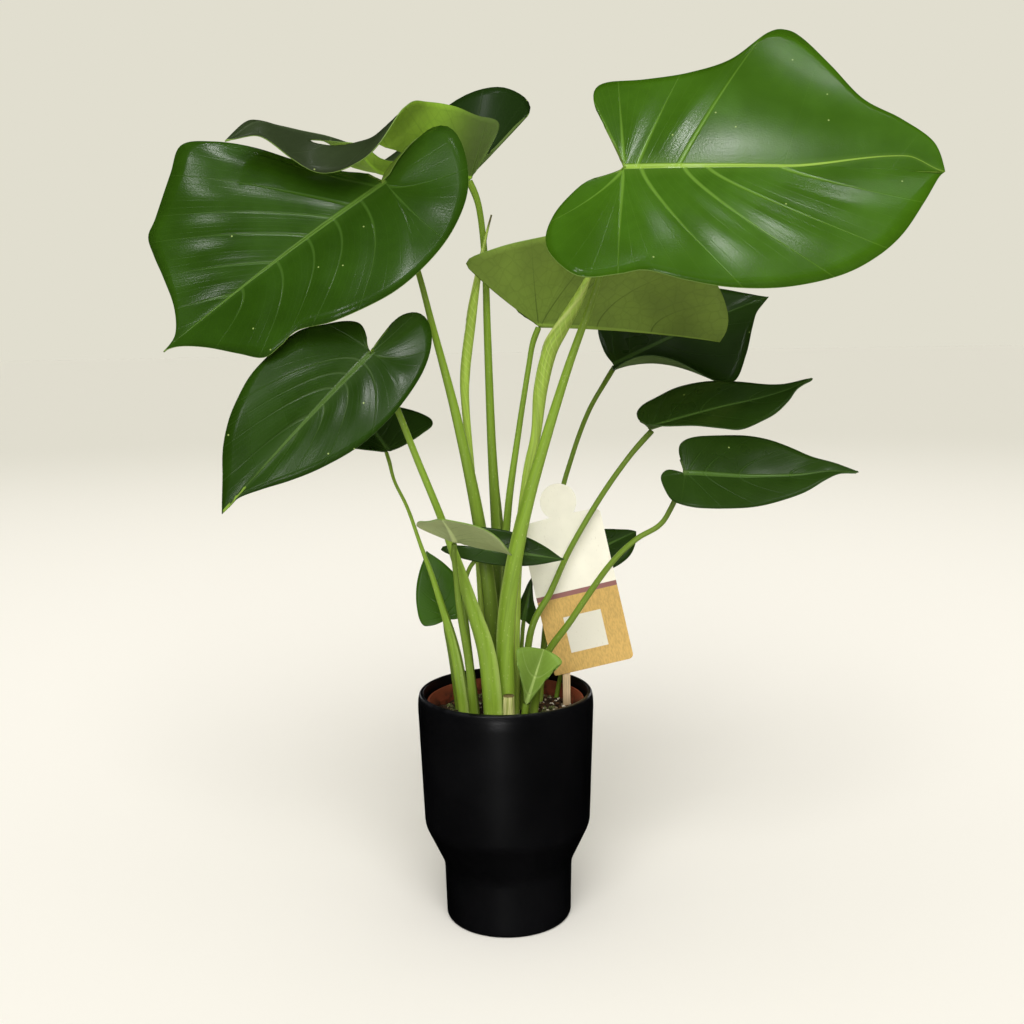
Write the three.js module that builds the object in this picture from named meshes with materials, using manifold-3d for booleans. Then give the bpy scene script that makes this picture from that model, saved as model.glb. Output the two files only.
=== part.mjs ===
// Potted swiss cheese plant: a young monstera in a nursery pot, set in a stepped black pot.
// Millimetres, +Z up. The origin is the centre of the pot's base, and the plant is seen from -Y.
import * as THREE from "three";
import Module from "manifold-3d";
import { mergeVertices } from "three/addons/utils/BufferGeometryUtils.js";

const wasm = await Module();
wasm.setup();

// Driving sizes
const GAP = 0.35; // clearance between pieces that touch
const POT_HEIGHT = 185.5;
const POT_RIM_RADIUS = 70;
const POT_SHOULDER_RADIUS = 66.5;
const POT_SHOULDER_Z = 78;
const POT_FOOT_RADIUS = 51.5;
const POT_FOOT_TOP_Z = 46;
const POT_WALL = 4.5;
const POT_FLOOR = 6;
const NURSERY_RIM_RADIUS = 62.5;
const NURSERY_RIM_Z = 178.5;
const NURSERY_BASE_RADIUS = 52.5;
const NURSERY_BASE_Z = 62;
const NURSERY_FLOOR_Z = 64; // upper face of its bottom
const NURSERY_WALL = 1.6;
const COLLAR_STEP = 3.2; // how far the nursery pot's collar stands out from its wall
const COLLAR_Z = 169.5; // where the wall ends and the collar starts
const SOIL_TOP_Z = 166;
const SOIL_RELIEF = 1.6;
const STALK_FOOT_Z = 150; // how deep the stalks stand in the soil
const BLADE_THICKNESS = 0.8;
const KEEL_DEPTH = 1.2; // the midrib stands this far below the blade at its base
const CARD_THICKNESS = 0.8;
const CARD_WIDTH = 65.5;
const CARD_SHOULDER_HEIGHT = 126;
const CARD_TAB_RADIUS = 14.5;
const CARD_TAB_HEIGHT = 138; // up to the middle of its round tab
const CARD_TAB_SHIFT = 2; // the tab stands a little right of the middle
const CARD_LEAN_DEG = 12.5;
const CARD_CORNER = 4; // radius of its lower right corner
const CARD_NICK = 3; // slanted corners of its shoulders
const CARD_FOOT = [72, 14, 199]; // middle of the card's lower edge
const STICK_WIDTH = 6;
const STICK_DEPTH = 2.4;
const STICK_X = 49.5;
const STICK_TOP_Z = 262;

// Fineness
const POT_SIDES = 48;
const STALK_SIDES = 8;
const STALK_STEPS = 12;
const LARGE_BLADE = { rows: 15, columns: 4 };
const SMALL_BLADE = { rows: 10, columns: 3 };
const SMALL_LENGTH = 80;

const BRIGHT_GREEN = 0x3f8a1e;
const MID_GREEN = 0x2f7020;
const DARK_GREEN = 0x1c4a1c;
const STALK_GREEN = 0x76a03c;

// A common heart shape: [share of the lobe's or the blade's length, share of the half width],
// from the notch round the lobe to just before the tip.
const HEART = [
  [-0.5, 0.06], [-0.86, 0.22], [-1, 0.46], [-0.88, 0.7], [-0.45, 0.92], [0.1, 1],
  [0.34, 0.92], [0.55, 0.74], [0.74, 0.48], [0.88, 0.22], [0.95, 0.08],
];
const heart = (length, leftHalf, rightHalf, lobe) =>
  [leftHalf, rightHalf].map((half) =>
    HEART.map(([x, y]) => [x < 0 ? x * lobe : x * length, y * half]),
  );

// The leaves. base is where the stalk meets the blade. heading, pitch and roll turn the blade, in
// degrees: the heading is its midrib's compass angle from +X, and the roll lifts its left half.
// fold and curl give, for the left and right half, the angle at the midrib and the extra bend out
// to the margin, at even places from the lobes to the tip. droop and back bend the midrib down in
// front of and behind the base. edge is the outline of each half on the flattened blade, as
// [along the midrib, out from it]. arch and bow move the midrib up and sideways. window is an
// opening in the left half. stalk is the course of the stalk as [x, y, z, radius], from the soil's
// surface to just short of the base.
const LEAVES = [
  {
    name: "top_right", colour: BRIGHT_GREEN, base: [91, -50, 582], length: 220,
    heading: -12, pitch: -1, roll: 62, half: [115, 110],
    fold: [[4, 10, 6], [16, 10, 8]], curl: [[-14, -22, -22], [6, -14, -22]], droop: 8, back: 6,
    edge: [
      [[-3, 5], [-14, 30], [-24, 50], [-26, 66], [-17, 74], [10, 75], [43, 79], [72, 90],
        [97, 117], [110, 122], [122, 115], [142, 88], [164, 57], [190, 40], [212, 22]],
      [[-5, 8], [-22, 13], [-33, 24], [-44, 46], [-47, 72], [-39, 93], [-20, 109], [5, 102],
        [22, 95], [48, 98], [80, 100], [115, 97], [149, 87], [172, 73], [190, 54],
        [205, 27], [216, 4]],
    ],
    stalk: [[1, -22, 164, 7], [2, -25, 239, 6.4], [9, -30, 294, 5.6], [22, -34, 350, 4.6],
      [48, -40, 434, 3.2], [72, -43, 501, 2.4], [88, -45, 562, 2.2]],
  },
  {
    name: "top_left", colour: MID_GREEN, base: [-83, -20, 578], length: 205,
    heading: -168, pitch: -34, roll: -62, half: [95, 110],
    fold: [[6, 18, 12], [-46, 18, 12]], curl: [[-6, -18, -18], [-34, -18, -18]],
    droop: 10, back: 6,
    edge: [
      [[-7, -2], [-20, -9], [-38, -15], [-54, -16], [-64, -8], [-64, 8], [-55, 30],
        [-40, 50], [-16, 67], [10, 78], [38, 84], [62, 83], [92, 75], [116, 62], [132, 62],
        [147, 60], [160, 44], [176, 23], [192, 7]],
      [[1, 4], [3, 8], [5, 15], [9, 22], [16, 30], [26, 41], [42, 58], [60, 79], [82, 99],
        [102, 111], [121, 99], [149, 82], [162, 75], [167, 60], [171, 42], [178, 20],
        [190, 4]],
    ],
    stalk: [[-7, 0, 164, 5.5], [-11, -2, 254, 5.2], [-20, -5, 329, 4.6], [-34, -9, 404, 3.6],
      [-50, -11, 471, 2.6], [-61, -12, 516, 2.2], [-75, -14, 558, 2.1]],
  },
  {
    name: "left", colour: MID_GREEN, base: [-93, -50, 454], length: 158,
    heading: -153, pitch: -42, roll: -58, half: [56, 54],
    fold: [[12, 16, 10], [4, 16, 10]], curl: [[-14, -20, -18], [-14, -20, -18]],
    droop: 12, back: 6,
    edge: [
      [[-7, -1], [-20, -4], [-36, -4], [-46, 3], [-46, 14], [-36, 27], [-17, 38], [6, 44],
        [32, 46], [60, 43], [88, 33], [109, 22], [126, 11], [141, 2], [150, 0]],
      [[-2, 6], [-9, 14], [-11, 22], [-5, 30], [8, 39], [24, 49], [45, 52], [70, 52],
        [92, 46], [108, 39], [124, 29], [138, 17], [150, 7]],
    ],
    stalk: [[-9.5, -33, 164, 6.3], [-14, -32, 219, 6], [-26, -35, 265, 4.6],
      [-43, -38, 322, 3], [-62, -42, 374, 2.6], [-76, -45, 413, 2.4],
      [-87, -46, 440, 2.3]],
  },
  {
    name: "right_lower", colour: DARK_GREEN, base: [137, -40, 361], length: 127,
    heading: -9, pitch: 4, roll: 48, half: [40, 40],
    fold: [[12, 14, 10], [12, 14, 10]], curl: [[-18, -22, -18], [-18, -22, -18]],
    droop: 12, back: 6, arch: [0, 0, 0, -4, -7, -7, -5, 0, 0],
    edge: [
      [[-2, 8], [-4, 18], [-2, 26], [8, 32], [25, 36], [44, 37], [62, 32], [80, 23],
        [96, 13], [112, 6]],
      [[-5, -3], [-13, -5], [-18, 1], [-17, 10], [-12, 23], [-5, 29], [6, 33], [20, 33],
        [38, 31], [54, 28], [71, 23], [87, 17], [101, 9], [114, 2]],
    ],
    stalk: [[20, -12, 164, 3.5], [29, -15, 209, 3], [52, -23, 247, 2.6], [80, -29, 289, 2.3],
      [100, -33, 310, 2.1], [118, -34, 321, 2], [127, -34, 334, 2]],
  },
  {
    name: "right_upper", colour: DARK_GREEN, base: [117, 10, 392], length: 131,
    heading: -4, pitch: 18, roll: 30, half: [45, 45],
    fold: [[14, 16, 10], [70, 16, 10]], curl: [[-18, -22, -18], [-18, -22, -18]],
    droop: 12, back: 6, arch: [0, 0, 0, 0, 0, 0, 2, 9],
    edge: [
      [[-3, 6], [-7, 13], [-6, 21], [1, 28], [12, 33], [30, 38], [52, 34], [76, 24],
        [94, 15], [110, 8], [122, 3]],
      [[-1, 5], [-3, 13], [1, 20], [8, 25], [18, 26], [32, 28], [50, 34], [63, 37],
        [79, 32], [93, 27], [106, 17], [117, 5]],
    ],
    stalk: [[13, 3, 164, 3.2], [20, 0, 229, 2.8], [37, 2, 264, 2.5], [53, 4, 298, 2.3],
      [77, 6, 338, 2.2], [100, 7, 370, 2.1]],
  },
  {
    name: "arched_behind", colour: MID_GREEN, base: [-22, 50, 589], length: 198,
    heading: 210, pitch: 11, roll: 0, half: [58, 90],
    arch: [0, 0, 0, 0, -5, -10, -13, -9, 5, 10, 12, 14, 16, 2],
    fold: [[65, 65, 65, 63, 64, 36, -20, -54, -48, -35], [78, 72, 32, 14, 10, 9, 9]],
    curl: [[10, 10, 10, 0, -10, -10, -10], [-6, -8, -2, 0, 0]],
    droop: 14, back: 0, window: { rows: [9, 12], columns: [1, 2] },
    edge: [
      [[-3, 6], [-8, 26], [-10, 46], [8, 49], [31, 57], [54, 60], [76, 62], [98, 58],
        [118, 48], [141, 38], [163, 26], [178, 15], [190, 6]],
      [[-3, 6], [-15, 22], [-28, 41], [-44, 60], [-56, 75], [-52, 86], [-32, 90], [-8, 86],
        [20, 80], [50, 68], [80, 54], [110, 38], [140, 26], [168, 16], [190, 6]],
    ],
    stalk: [[-1, 21, 164, 5.5], [-4, 28, 285, 5], [-8, 35, 376, 3.6], [-10, 41, 467, 3],
      [-11, 45, 524, 2.6], [-15, 49, 566, 2.5]],
  },
  {
    name: "centre_upright", colour: MID_GREEN, base: [31, 45, 473], length: 154,
    heading: 8, pitch: -2, roll: 0, half: [90, 100],
    fold: [[75, 70, 60], [62, 66, 60]], curl: [[-20, -20, -20], [-10, -14, -20]],
    droop: 7, back: -20, bow: 8,
    edge: [
      [[-6, 4], [-18, 12], [-24, 32], [-16, 54], [2, 68], [30, 78], [60, 74], [94, 60],
        [120, 40], [139, 18], [148, 7]],
      [[-4, 8], [-14, 20], [-30, 28], [-46, 34], [-64, 42], [-68, 48], [-60, 56],
        [-32, 70], [8, 80], [50, 86], [88, 84], [117, 70], [139, 47], [152, 27], [156, 12]],
    ],
    stalk: [[3, 10, 164, 4], [0, 13, 255, 3.6], [4, 19, 325, 3], [14, 30, 391, 2.4],
      [22, 38, 437, 2.2], [26, 43, 458, 2.2]],
  },
  {
    name: "dark_behind", colour: DARK_GREEN, base: [96, 98, 440], length: 155,
    heading: 12, pitch: 25, roll: 42, half: [75, 72],
    fold: [[14, 12, 8], [66, 17, -8, 8, 8]], curl: [[-18, -20, -18], [80, 120, 36, -14, -18]],
    droop: 10, back: 0,
    edge: [
      [[-1, 5], [0, 18], [6, 38], [18, 56], [40, 68], [66, 66], [96, 50], [122, 28],
        [138, 12], [146, 5]],
      [[-3, 4], [-6, 14], [-4, 26], [5, 36], [22, 50], [44, 66], [70, 74], [97, 53],
        [118, 30], [133, 14], [146, 5]],
    ],
    stalk: [[26, 28, 164, 3], [35, 42, 238, 2.6], [46, 58, 322, 2.2], [59, 70, 367, 2],
      [73, 82, 401, 2], [88, 94, 425, 2]],
  },
  {
    name: "left_small", colour: DARK_GREEN, base: [-91, 20, 377], length: 72,
    heading: 128, pitch: 38, roll: -8, half: [44, 44],
    fold: [[34, 24, 8], [46, 26, 8]], curl: [[-20, -20, -20], [-20, -20, -20]],
    droop: 14, back: 0, edge: heart(72, 44, 44, 6),
    stalk: [[-31, -17, 164, 4.2], [-39, -11, 217, 3.6], [-53, -1, 268, 2.4],
      [-65, 6, 302, 1.6], [-75, 11, 331, 1.4], [-85, 15, 352, 1.3],
      [-89, 18, 367, 1.4]],
  },
  {
    name: "low_left", colour: DARK_GREEN, base: [-47, 11, 243], length: 57,
    heading: 130, pitch: 66, roll: -30, half: [30, 30],
    fold: [[8, 8, 6], [8, 8, 6]], curl: [[-20, -20, -20], [-20, -20, -20]],
    droop: 10, back: 0, edge: heart(57, 21, 23, 4),
    stalk: [[-37, 11, 164, 2.2], [-43, 12, 203, 1.8], [-47, 12, 231, 1.6]],
  },
  {
    name: "low_front", colour: 0x4a6b46, base: [-35, -58, 316], length: 50,
    heading: -98, pitch: 34, roll: 0, half: [44, 40],
    fold: [[6, 4, 2], [26, 22, 10]], curl: [[-34, -40, -20], [-10, -14, -20]],
    droop: 14, back: 0,
    edge: [
      [[-6, 6], [-12, 20], [-8, 36], [4, 47], [18, 44], [30, 33], [40, 16], [46, 6]],
      [[-4, 4], [-5, 11], [-2, 21], [4, 30], [16, 26], [27, 18], [38, 10], [46, 4]],
    ],
    stalk: [[-24, -31, 164, 3.2], [-27, -41, 214, 2.8], [-33, -47, 260, 2.4],
      [-35, -53, 288, 2], [-36, -57, 305, 1.8]],
  },
  {
    name: "low_middle", colour: DARK_GREEN, base: [-12, -17, 303], length: 60,
    heading: -3, pitch: -9, roll: 80, half: [24, 16],
    fold: [[8, 10, 8], [8, 10, 8]], curl: [[-16, -16, -16], [-16, -16, -16]],
    droop: 4, back: 10, edge: heart(60, 16, 12, 36),
    stalk: [[-21, -9, 164, 2.4], [-29, -11, 234, 2.2], [-31, -12, 266, 1.8],
      [-27, -14, 285, 1.6], [-19, -15, 296, 1.5]],
  },
  {
    name: "behind_card", colour: DARK_GREEN, base: [62, 60, 279], length: 54,
    heading: -5, pitch: 28, roll: 60, half: [20, 24],
    fold: [[8, 8, 8], [8, 8, 8]], curl: [[-20, -20, -20], [-20, -20, -20]],
    droop: 10, back: 0,
    edge: [
      [[-5, 2], [-9, 5], [-10, 9], [-8, 14], [-4, 18], [6, 20], [19, 18], [31, 14],
        [42, 8], [49, 4]],
      [[-5, 2], [-9, 6], [-10, 11], [-8, 16], [-3, 19], [8, 21], [20, 21], [32, 20],
        [41, 17], [48, 11], [52, 4]],
    ],
    stalk: [[38, 30, 164, 2], [50, 42, 209, 1.7], [58, 57, 250, 1.5]],
  },
  {
    name: "beside_card", colour: DARK_GREEN, base: [15.5, 25, 237], length: 36,
    heading: 0, pitch: 78, roll: 84, half: [10, 14],
    fold: [[40, 40, 20], [24, 24, 20]], curl: [[-10, -10, -10], [-20, -20, -20]],
    droop: 6, back: 0,
    edge: [
      [[-1, 2], [3, 5], [9, 7], [16, 6], [23, 4], [30, 2]],
      [[-2, 3], [-3, 7], [0, 11], [5, 12], [10, 9], [17, 5], [27, 2]],
    ],
    stalk: [[10, 15, 164, 2], [13, 23, 202, 1.7], [14.5, 26, 226, 1.5]],
  },
  {
    name: "unfurling", colour: 0x4f8a2c, base: [16, -28, 181.4], length: 46,
    heading: 0, pitch: 72, roll: 82, half: [16, 16],
    fold: [[55, 46, 24], [55, 46, 24]], curl: [[10, 0, -10], [10, 0, -10]],
    droop: 0, back: 0,
    edge: [
      [[3, 3], [14, 9], [26, 15], [36, 20], [42, 20], [45, 11]],
      [[3, 3], [14, 7], [26, 11], [36, 15], [43, 17], [46, 9]],
    ],
    stalk: [[14, -27, 164, 3], [15, -26, 174, 2.6]],
  },
];

// Leaves that are still rolled up: each is one spear that thickens above its stalk, [x, y, z, radius]
const ROLLED_LEAVES = [
  {
    name: "rolled_leaf_left",
    course: [[-14, 11, 164, 4], [-18, 13, 264, 3.4], [-23, 18, 344, 2.6], [-28, 24, 408, 3.2],
      [-28, 28, 438, 4], [-23, 32, 475, 4], [-17, 34, 509, 2.6], [-10, 35, 541, 1.2],
      [-5, 35, 559, 0.7]],
  },
  {
    name: "rolled_leaf_right",
    course: [[6, -5, 164, 4.6], [10, 2, 274, 4], [19, 4, 353, 3.6], [27, 5, 389, 4],
      [31, 6, 424, 5.5], [38, 7, 452, 6], [48, 8, 470, 5.6], [60, 9, 490, 4.4], [70, 10, 510, 2]],
  },
];
const CUT_STALK = [[2.6, -38, 164, 4.6], [2.6, -38, 192, 4.2]];

const radians = THREE.MathUtils.degToRad;

// Catmull-Rom value at u, from 0 to 1, through a list of equal-length arrays
function splineAt(points, u) {
  const last = points.length - 1;
  const k = Math.min(Math.floor(u * last), last - 1);
  const f = u * last - k;
  const [p0, p1, p2, p3] = [
    points[Math.max(k - 1, 0)], points[k], points[k + 1], points[Math.min(k + 2, last)],
  ];
  return p1.map((_, i) =>
    0.5 * (2 * p1[i] + (p2[i] - p0[i]) * f
      + (2 * p0[i] - 5 * p1[i] + 4 * p2[i] - p3[i]) * f * f
      + (3 * p1[i] - p0[i] - 3 * p2[i] + p3[i]) * f ** 3));
}

// The value of an even row of stations that runs from the lobes (share -0.3) to the tip (share 1)
function stationAt(values, share) {
  const u = THREE.MathUtils.clamp((share + 0.3) / 1.3, 0, 1);
  return splineAt(values.map((v) => [v]), u)[0];
}

function leafFrame(leaf) {
  const [h, p, r] = [leaf.heading, leaf.pitch, leaf.roll].map(radians);
  const along = new THREE.Vector3(Math.cos(p) * Math.cos(h), Math.cos(p) * Math.sin(h), Math.sin(p));
  const level = new THREE.Vector3(-Math.sin(h), Math.cos(h), 0);
  const upright = along.clone().cross(level);
  const left = level.clone().multiplyScalar(Math.cos(r)).addScaledVector(upright, Math.sin(r));
  const up = upright.clone().multiplyScalar(Math.cos(r)).addScaledVector(level, -Math.sin(r));
  return { along, left, up };
}

// A point of the blade's upper face. x runs along the midrib, y out from it on side 0 (left) or 1.
function leafPoint(leaf, x, y, side) {
  const { along, left, up } = leafFrame(leaf);
  const share = x / leaf.length;
  const bend = radians(x >= 0 ? leaf.droop : leaf.back) / leaf.length;
  const forward = bend ? Math.sin(bend * x) / bend : x;
  const drop = bend ? (1 - Math.cos(bend * x)) / bend : 0;
  const upHere = up.clone().multiplyScalar(Math.cos(bend * x))
    .addScaledVector(along, Math.sin(bend * x));
  const fold = radians(stationAt(leaf.fold[side], share));
  const curl = radians(stationAt(leaf.curl[side], share)) / leaf.half[side];
  const out = curl ? (Math.sin(fold + curl * y) - Math.sin(fold)) / curl : y * Math.cos(fold);
  const rise = curl ? (Math.cos(fold) - Math.cos(fold + curl * y)) / curl : y * Math.sin(fold);
  const bow = (leaf.bow ?? 0) * share * Math.abs(share);
  const arch = leaf.arch ? stationAt(leaf.arch, share) : 0;
  return new THREE.Vector3(...leaf.base)
    .addScaledVector(along, forward)
    .addScaledVector(up, arch - drop)
    .addScaledVector(left, (side ? -out : out) + bow)
    .addScaledVector(upHere, rise);
}

// The blade's flat grid: for each half, rows of [x, y] from the midrib out to the margin
function bladeRows(leaf, side, count, columns) {
  const edge = [...leaf.edge[side], [leaf.length, 0]];
  const rows = [];
  let root = 0;
  for (let i = 0; i <= count; i++) {
    const [ex, ey] = splineAt(edge, i / count);
    root = Math.max(root, THREE.MathUtils.clamp(ex - 0.5 * Math.abs(ey), 0, leaf.length));
    if (i === count) root = leaf.length;
    const row = [];
    for (let j = 0; j <= columns; j++) {
      const t = j / columns;
      row.push([root + (ex - root) * (root > 0 ? t ** 1.3 : t), ey * t]);
    }
    rows.push(row);
  }
  return rows;
}

// One closed leaf blade: the upper face, the same triangles below it, and a rim between the two
function leafBlade(leaf) {
  const { rows: count, columns } = leaf.length < SMALL_LENGTH ? SMALL_BLADE : LARGE_BLADE;
  const points = [];
  const keel = [];
  const index = new Map();
  const faces = [];
  const vertex = (x, y, side) => {
    const p = leafPoint(leaf, x, y, side);
    const key = [p.x, p.y, p.z].map((v) => v.toFixed(2)).join();
    if (!index.has(key)) {
      index.set(key, points.length);
      points.push(p);
      keel.push(y === 0 ? KEEL_DEPTH * (1 - 0.8 * Math.max(x, 0) / leaf.length) : 0);
    }
    return index.get(key);
  };
  for (const side of [0, 1]) {
    // the midrib places of the two halves are one line, so the right half takes the left's
    const rows = bladeRows(leaf, side, count, columns);
    const midribs = bladeRows(leaf, 0, count, columns).map((row) => row[0][0]);
    const grid = rows.map((row, i) => row.map(([x, y], j) =>
      vertex(j === 0 ? midribs[i] : x, y, side)));
    for (let i = 0; i < count; i++)
      for (let j = 0; j < columns; j++) {
        const w = leaf.window;
        if (w && side === 0 && i >= w.rows[0] && i < w.rows[1]
          && j >= w.columns[0] && j < w.columns[1]) continue;
        const [a, b, c, d] = [grid[i][j], grid[i][j + 1], grid[i + 1][j + 1], grid[i + 1][j]];
        for (const [p, q, r] of side ? [[a, b, c], [a, c, d]] : [[a, c, b], [a, d, c]])
          if (p !== q && q !== r && r !== p) faces.push([p, q, r]);
      }
  }
  const normals = points.map(() => new THREE.Vector3());
  for (const [p, q, r] of faces) {
    const n = points[q].clone().sub(points[p]).cross(points[r].clone().sub(points[p]));
    for (const v of [p, q, r]) normals[v].add(n);
  }
  const below = points.map((p, i) =>
    p.clone().addScaledVector(normals[i].normalize(), -(BLADE_THICKNESS + keel[i])));
  const edges = new Map();
  for (const f of faces)
    for (let k = 0; k < 3; k++) edges.set(f[k] + "_" + f[(k + 1) % 3], [f[k], f[(k + 1) % 3]]);
  const half = points.length;
  const all = faces.flatMap(([p, q, r]) => [[p, q, r], [half + p, half + r, half + q]]);
  for (const [a, b] of edges.values())
    if (!edges.has(b + "_" + a)) all.push([b, a, half + a], [b, half + a, half + b]);
  return closedGeometry([...points, ...below], all);
}

function closedGeometry(points, faces) {
  const geometry = new THREE.BufferGeometry();
  geometry.setAttribute("position",
    new THREE.Float32BufferAttribute(points.flatMap((p) => [p.x, p.y, p.z]), 3));
  geometry.setIndex(faces.flat());
  geometry.computeVertexNormals();
  return geometry;
}

// A closed stalk along a course of [x, y, z, radius], with grow added to every radius
function stalk(course, steps, grow = 0) {
  const points = [];
  const faces = [];
  for (let i = 0; i <= steps; i++) {
    const u = i / steps;
    const [x, y, z, radius] = splineAt(course, u);
    const before = new THREE.Vector3(...splineAt(course, Math.max(u - 0.01, 0)));
    const after = new THREE.Vector3(...splineAt(course, Math.min(u + 0.01, 1)));
    const along = after.sub(before).normalize();
    const right = along.clone().cross(new THREE.Vector3(0, 1, 0)).normalize();
    const back = along.clone().cross(right);
    for (let k = 0; k < STALK_SIDES; k++) {
      const angle = (k / STALK_SIDES) * 2 * Math.PI;
      points.push(new THREE.Vector3(x, y, z)
        .addScaledVector(right, (radius + grow) * Math.cos(angle))
        .addScaledVector(back, (radius + grow) * Math.sin(angle)));
    }
  }
  for (let i = 0; i < steps; i++)
    for (let k = 0; k < STALK_SIDES; k++) {
      const [a, b] = [i * STALK_SIDES + k, i * STALK_SIDES + (k + 1) % STALK_SIDES];
      const [c, d] = [b + STALK_SIDES, a + STALK_SIDES];
      faces.push([a, b, c], [a, c, d]);
    }
  const top = steps * STALK_SIDES;
  for (let k = 1; k < STALK_SIDES - 1; k++)
    faces.push([0, k + 1, k], [top, top + k, top + k + 1]);
  return closedGeometry(points, faces);
}

// The course from the stalk's foot in the soil up to just under the blade
function wholeCourse(leaf) {
  const foot = rooted(leaf.stalk);
  const tipRadius = foot.at(-1)[3];
  const { up } = leafFrame(leaf);
  const base = new THREE.Vector3(...leaf.base);
  const last = new THREE.Vector3(...foot.at(-1));
  const slant = Math.sqrt(1 - Math.min(base.clone().sub(last).normalize().dot(up) ** 2, 1));
  const folds = leaf.fold.map((values) => Math.max(stationAt(values, 0), 0));
  const flatness = Math.cos(radians((folds[0] + folds[1]) / 2)); // a folded blade touches less
  const under = base.addScaledVector(up,
    -(BLADE_THICKNESS + KEEL_DEPTH + GAP + tipRadius * slant * flatness));
  return [...foot, [...under.toArray(), tipRadius]];
}

// The same course with its foot in the soil
function rooted(course) {
  const [x, y, , radius] = course[0];
  return [[x, y, STALK_FOOT_Z, radius], ...course.slice(1)];
}

const manifoldOf = (geometry) => {
  const bare = geometry.clone();
  for (const name of ["normal", "uv"]) bare.deleteAttribute(name);
  const merged = mergeVertices(bare, 1e-4);
  return new wasm.Manifold(new wasm.Mesh({
    numProp: 3,
    vertProperties: merged.attributes.position.array,
    triVerts: new Uint32Array(merged.index.array),
  }));
};
const geometryOf = (solid) => {
  const { vertProperties, triVerts } = solid.getMesh();
  const geometry = new THREE.BufferGeometry();
  geometry.setAttribute("position", new THREE.Float32BufferAttribute(vertProperties, 3));
  geometry.setIndex([...triVerts]);
  geometry.computeVertexNormals();
  return geometry;
};

// A turned piece from a profile of [radius, z], bottom on the axis to top on the axis or closed
function turned(profile, sides = POT_SIDES) {
  const geometry = new THREE.LatheGeometry(
    profile.map(([r, z]) => new THREE.Vector2(r, z)), sides);
  return geometry.rotateX(Math.PI / 2);
}

function outerPot() {
  const rim = POT_RIM_RADIUS;
  const inner = rim - POT_WALL;
  return turned([
    [0, 0], [44, 0], [48.5, 1.6], [50.6, 6], [POT_FOOT_RADIUS, POT_FOOT_TOP_Z], [54.2, 54],
    [60, 64], [65, 72], [POT_SHOULDER_RADIUS, POT_SHOULDER_Z], [rim, 180], [69.4, 184],
    [68, POT_HEIGHT], [66.4, 185], [inner, 182], [61.6, 80], [57, 69], [50.4, 57], [47.5, 48],
    [46.5, POT_FLOOR], [0, POT_FLOOR],
  ]);
}

function nurseryPot() {
  const [rim, base] = [NURSERY_RIM_RADIUS, NURSERY_BASE_RADIUS];
  return turned([
    [0, NURSERY_BASE_Z], [base, NURSERY_BASE_Z], [rim - COLLAR_STEP, COLLAR_Z],
    [rim, COLLAR_Z + 0.6], [rim, NURSERY_RIM_Z], [rim - NURSERY_WALL, NURSERY_RIM_Z],
    [rim - COLLAR_STEP - NURSERY_WALL, COLLAR_Z], [base - NURSERY_WALL, NURSERY_FLOOR_Z],
    [0, NURSERY_FLOOR_Z],
  ]);
}

// The soil: a plug with a lumpy top, and a plain hole for each stalk and for the card's stick
function soil(stems) {
  const rings = 4;
  const base = NURSERY_BASE_RADIUS - NURSERY_WALL - 1.5 * GAP;
  const top = base + (NURSERY_RIM_RADIUS - COLLAR_STEP - NURSERY_BASE_RADIUS)
    * (SOIL_TOP_Z - NURSERY_BASE_Z) / (COLLAR_Z - NURSERY_BASE_Z);
  const profile = [[0, NURSERY_FLOOR_Z + GAP], [base, NURSERY_FLOOR_Z + GAP]];
  for (let k = 0; k <= rings; k++) profile.push([top * (1 - k / rings), SOIL_TOP_Z]);
  const geometry = turned(profile, 28);
  const position = geometry.attributes.position;
  for (let i = 0; i < position.count; i++) {
    const [x, y, z] = [position.getX(i), position.getY(i), position.getZ(i)];
    const radius = Math.hypot(x, y);
    if (z > SOIL_TOP_Z - 1 && radius < top - 1)
      position.setZ(i, z + SOIL_RELIEF * Math.sin(0.17 * x + 1) * Math.cos(0.21 * y)
        + 1.2 * (1 - radius / top));
  }
  let solid = manifoldOf(geometry);
  for (const { course, steps } of stems)
    solid = solid.subtract(manifoldOf(stalk(course, steps, GAP).translate(0, 0, -GAP)));
  const slotHeight = 2 * (SOIL_TOP_Z - STALK_FOOT_Z); // ends well above the soil
  const slot = new THREE.BoxGeometry(STICK_WIDTH + 2 * GAP, STICK_DEPTH + 2 * GAP, slotHeight)
    .translate(STICK_X, CARD_FOOT[1] + stickOffset, STALK_FOOT_Z - GAP + slotHeight / 2);
  return geometryOf(solid.subtract(manifoldOf(slot)));
}

// How far behind the card's plane the stick's middle stands
const stickOffset = CARD_THICKNESS / 2 + GAP + STICK_DEPTH / 2;

function labelCard() {
  const half = CARD_WIDTH / 2;
  const shape = new THREE.Shape();
  shape.moveTo(-half + 1, 0);
  shape.lineTo(half - CARD_CORNER, 0);
  shape.absarc(half - CARD_CORNER, CARD_CORNER, CARD_CORNER, -Math.PI / 2, 0);
  shape.lineTo(half, CARD_SHOULDER_HEIGHT - CARD_NICK);
  shape.lineTo(half - CARD_NICK, CARD_SHOULDER_HEIGHT);
  shape.absarc(CARD_TAB_SHIFT, CARD_TAB_HEIGHT, CARD_TAB_RADIUS, radians(-50), radians(230));
  shape.lineTo(-half + CARD_NICK, CARD_SHOULDER_HEIGHT);
  shape.lineTo(-half, CARD_SHOULDER_HEIGHT - CARD_NICK);
  shape.lineTo(-half, 1);
  return new THREE.ExtrudeGeometry(shape, {
    depth: CARD_THICKNESS, bevelEnabled: false, curveSegments: 16,
  }).translate(0, 0, -CARD_THICKNESS / 2);
}

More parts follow.
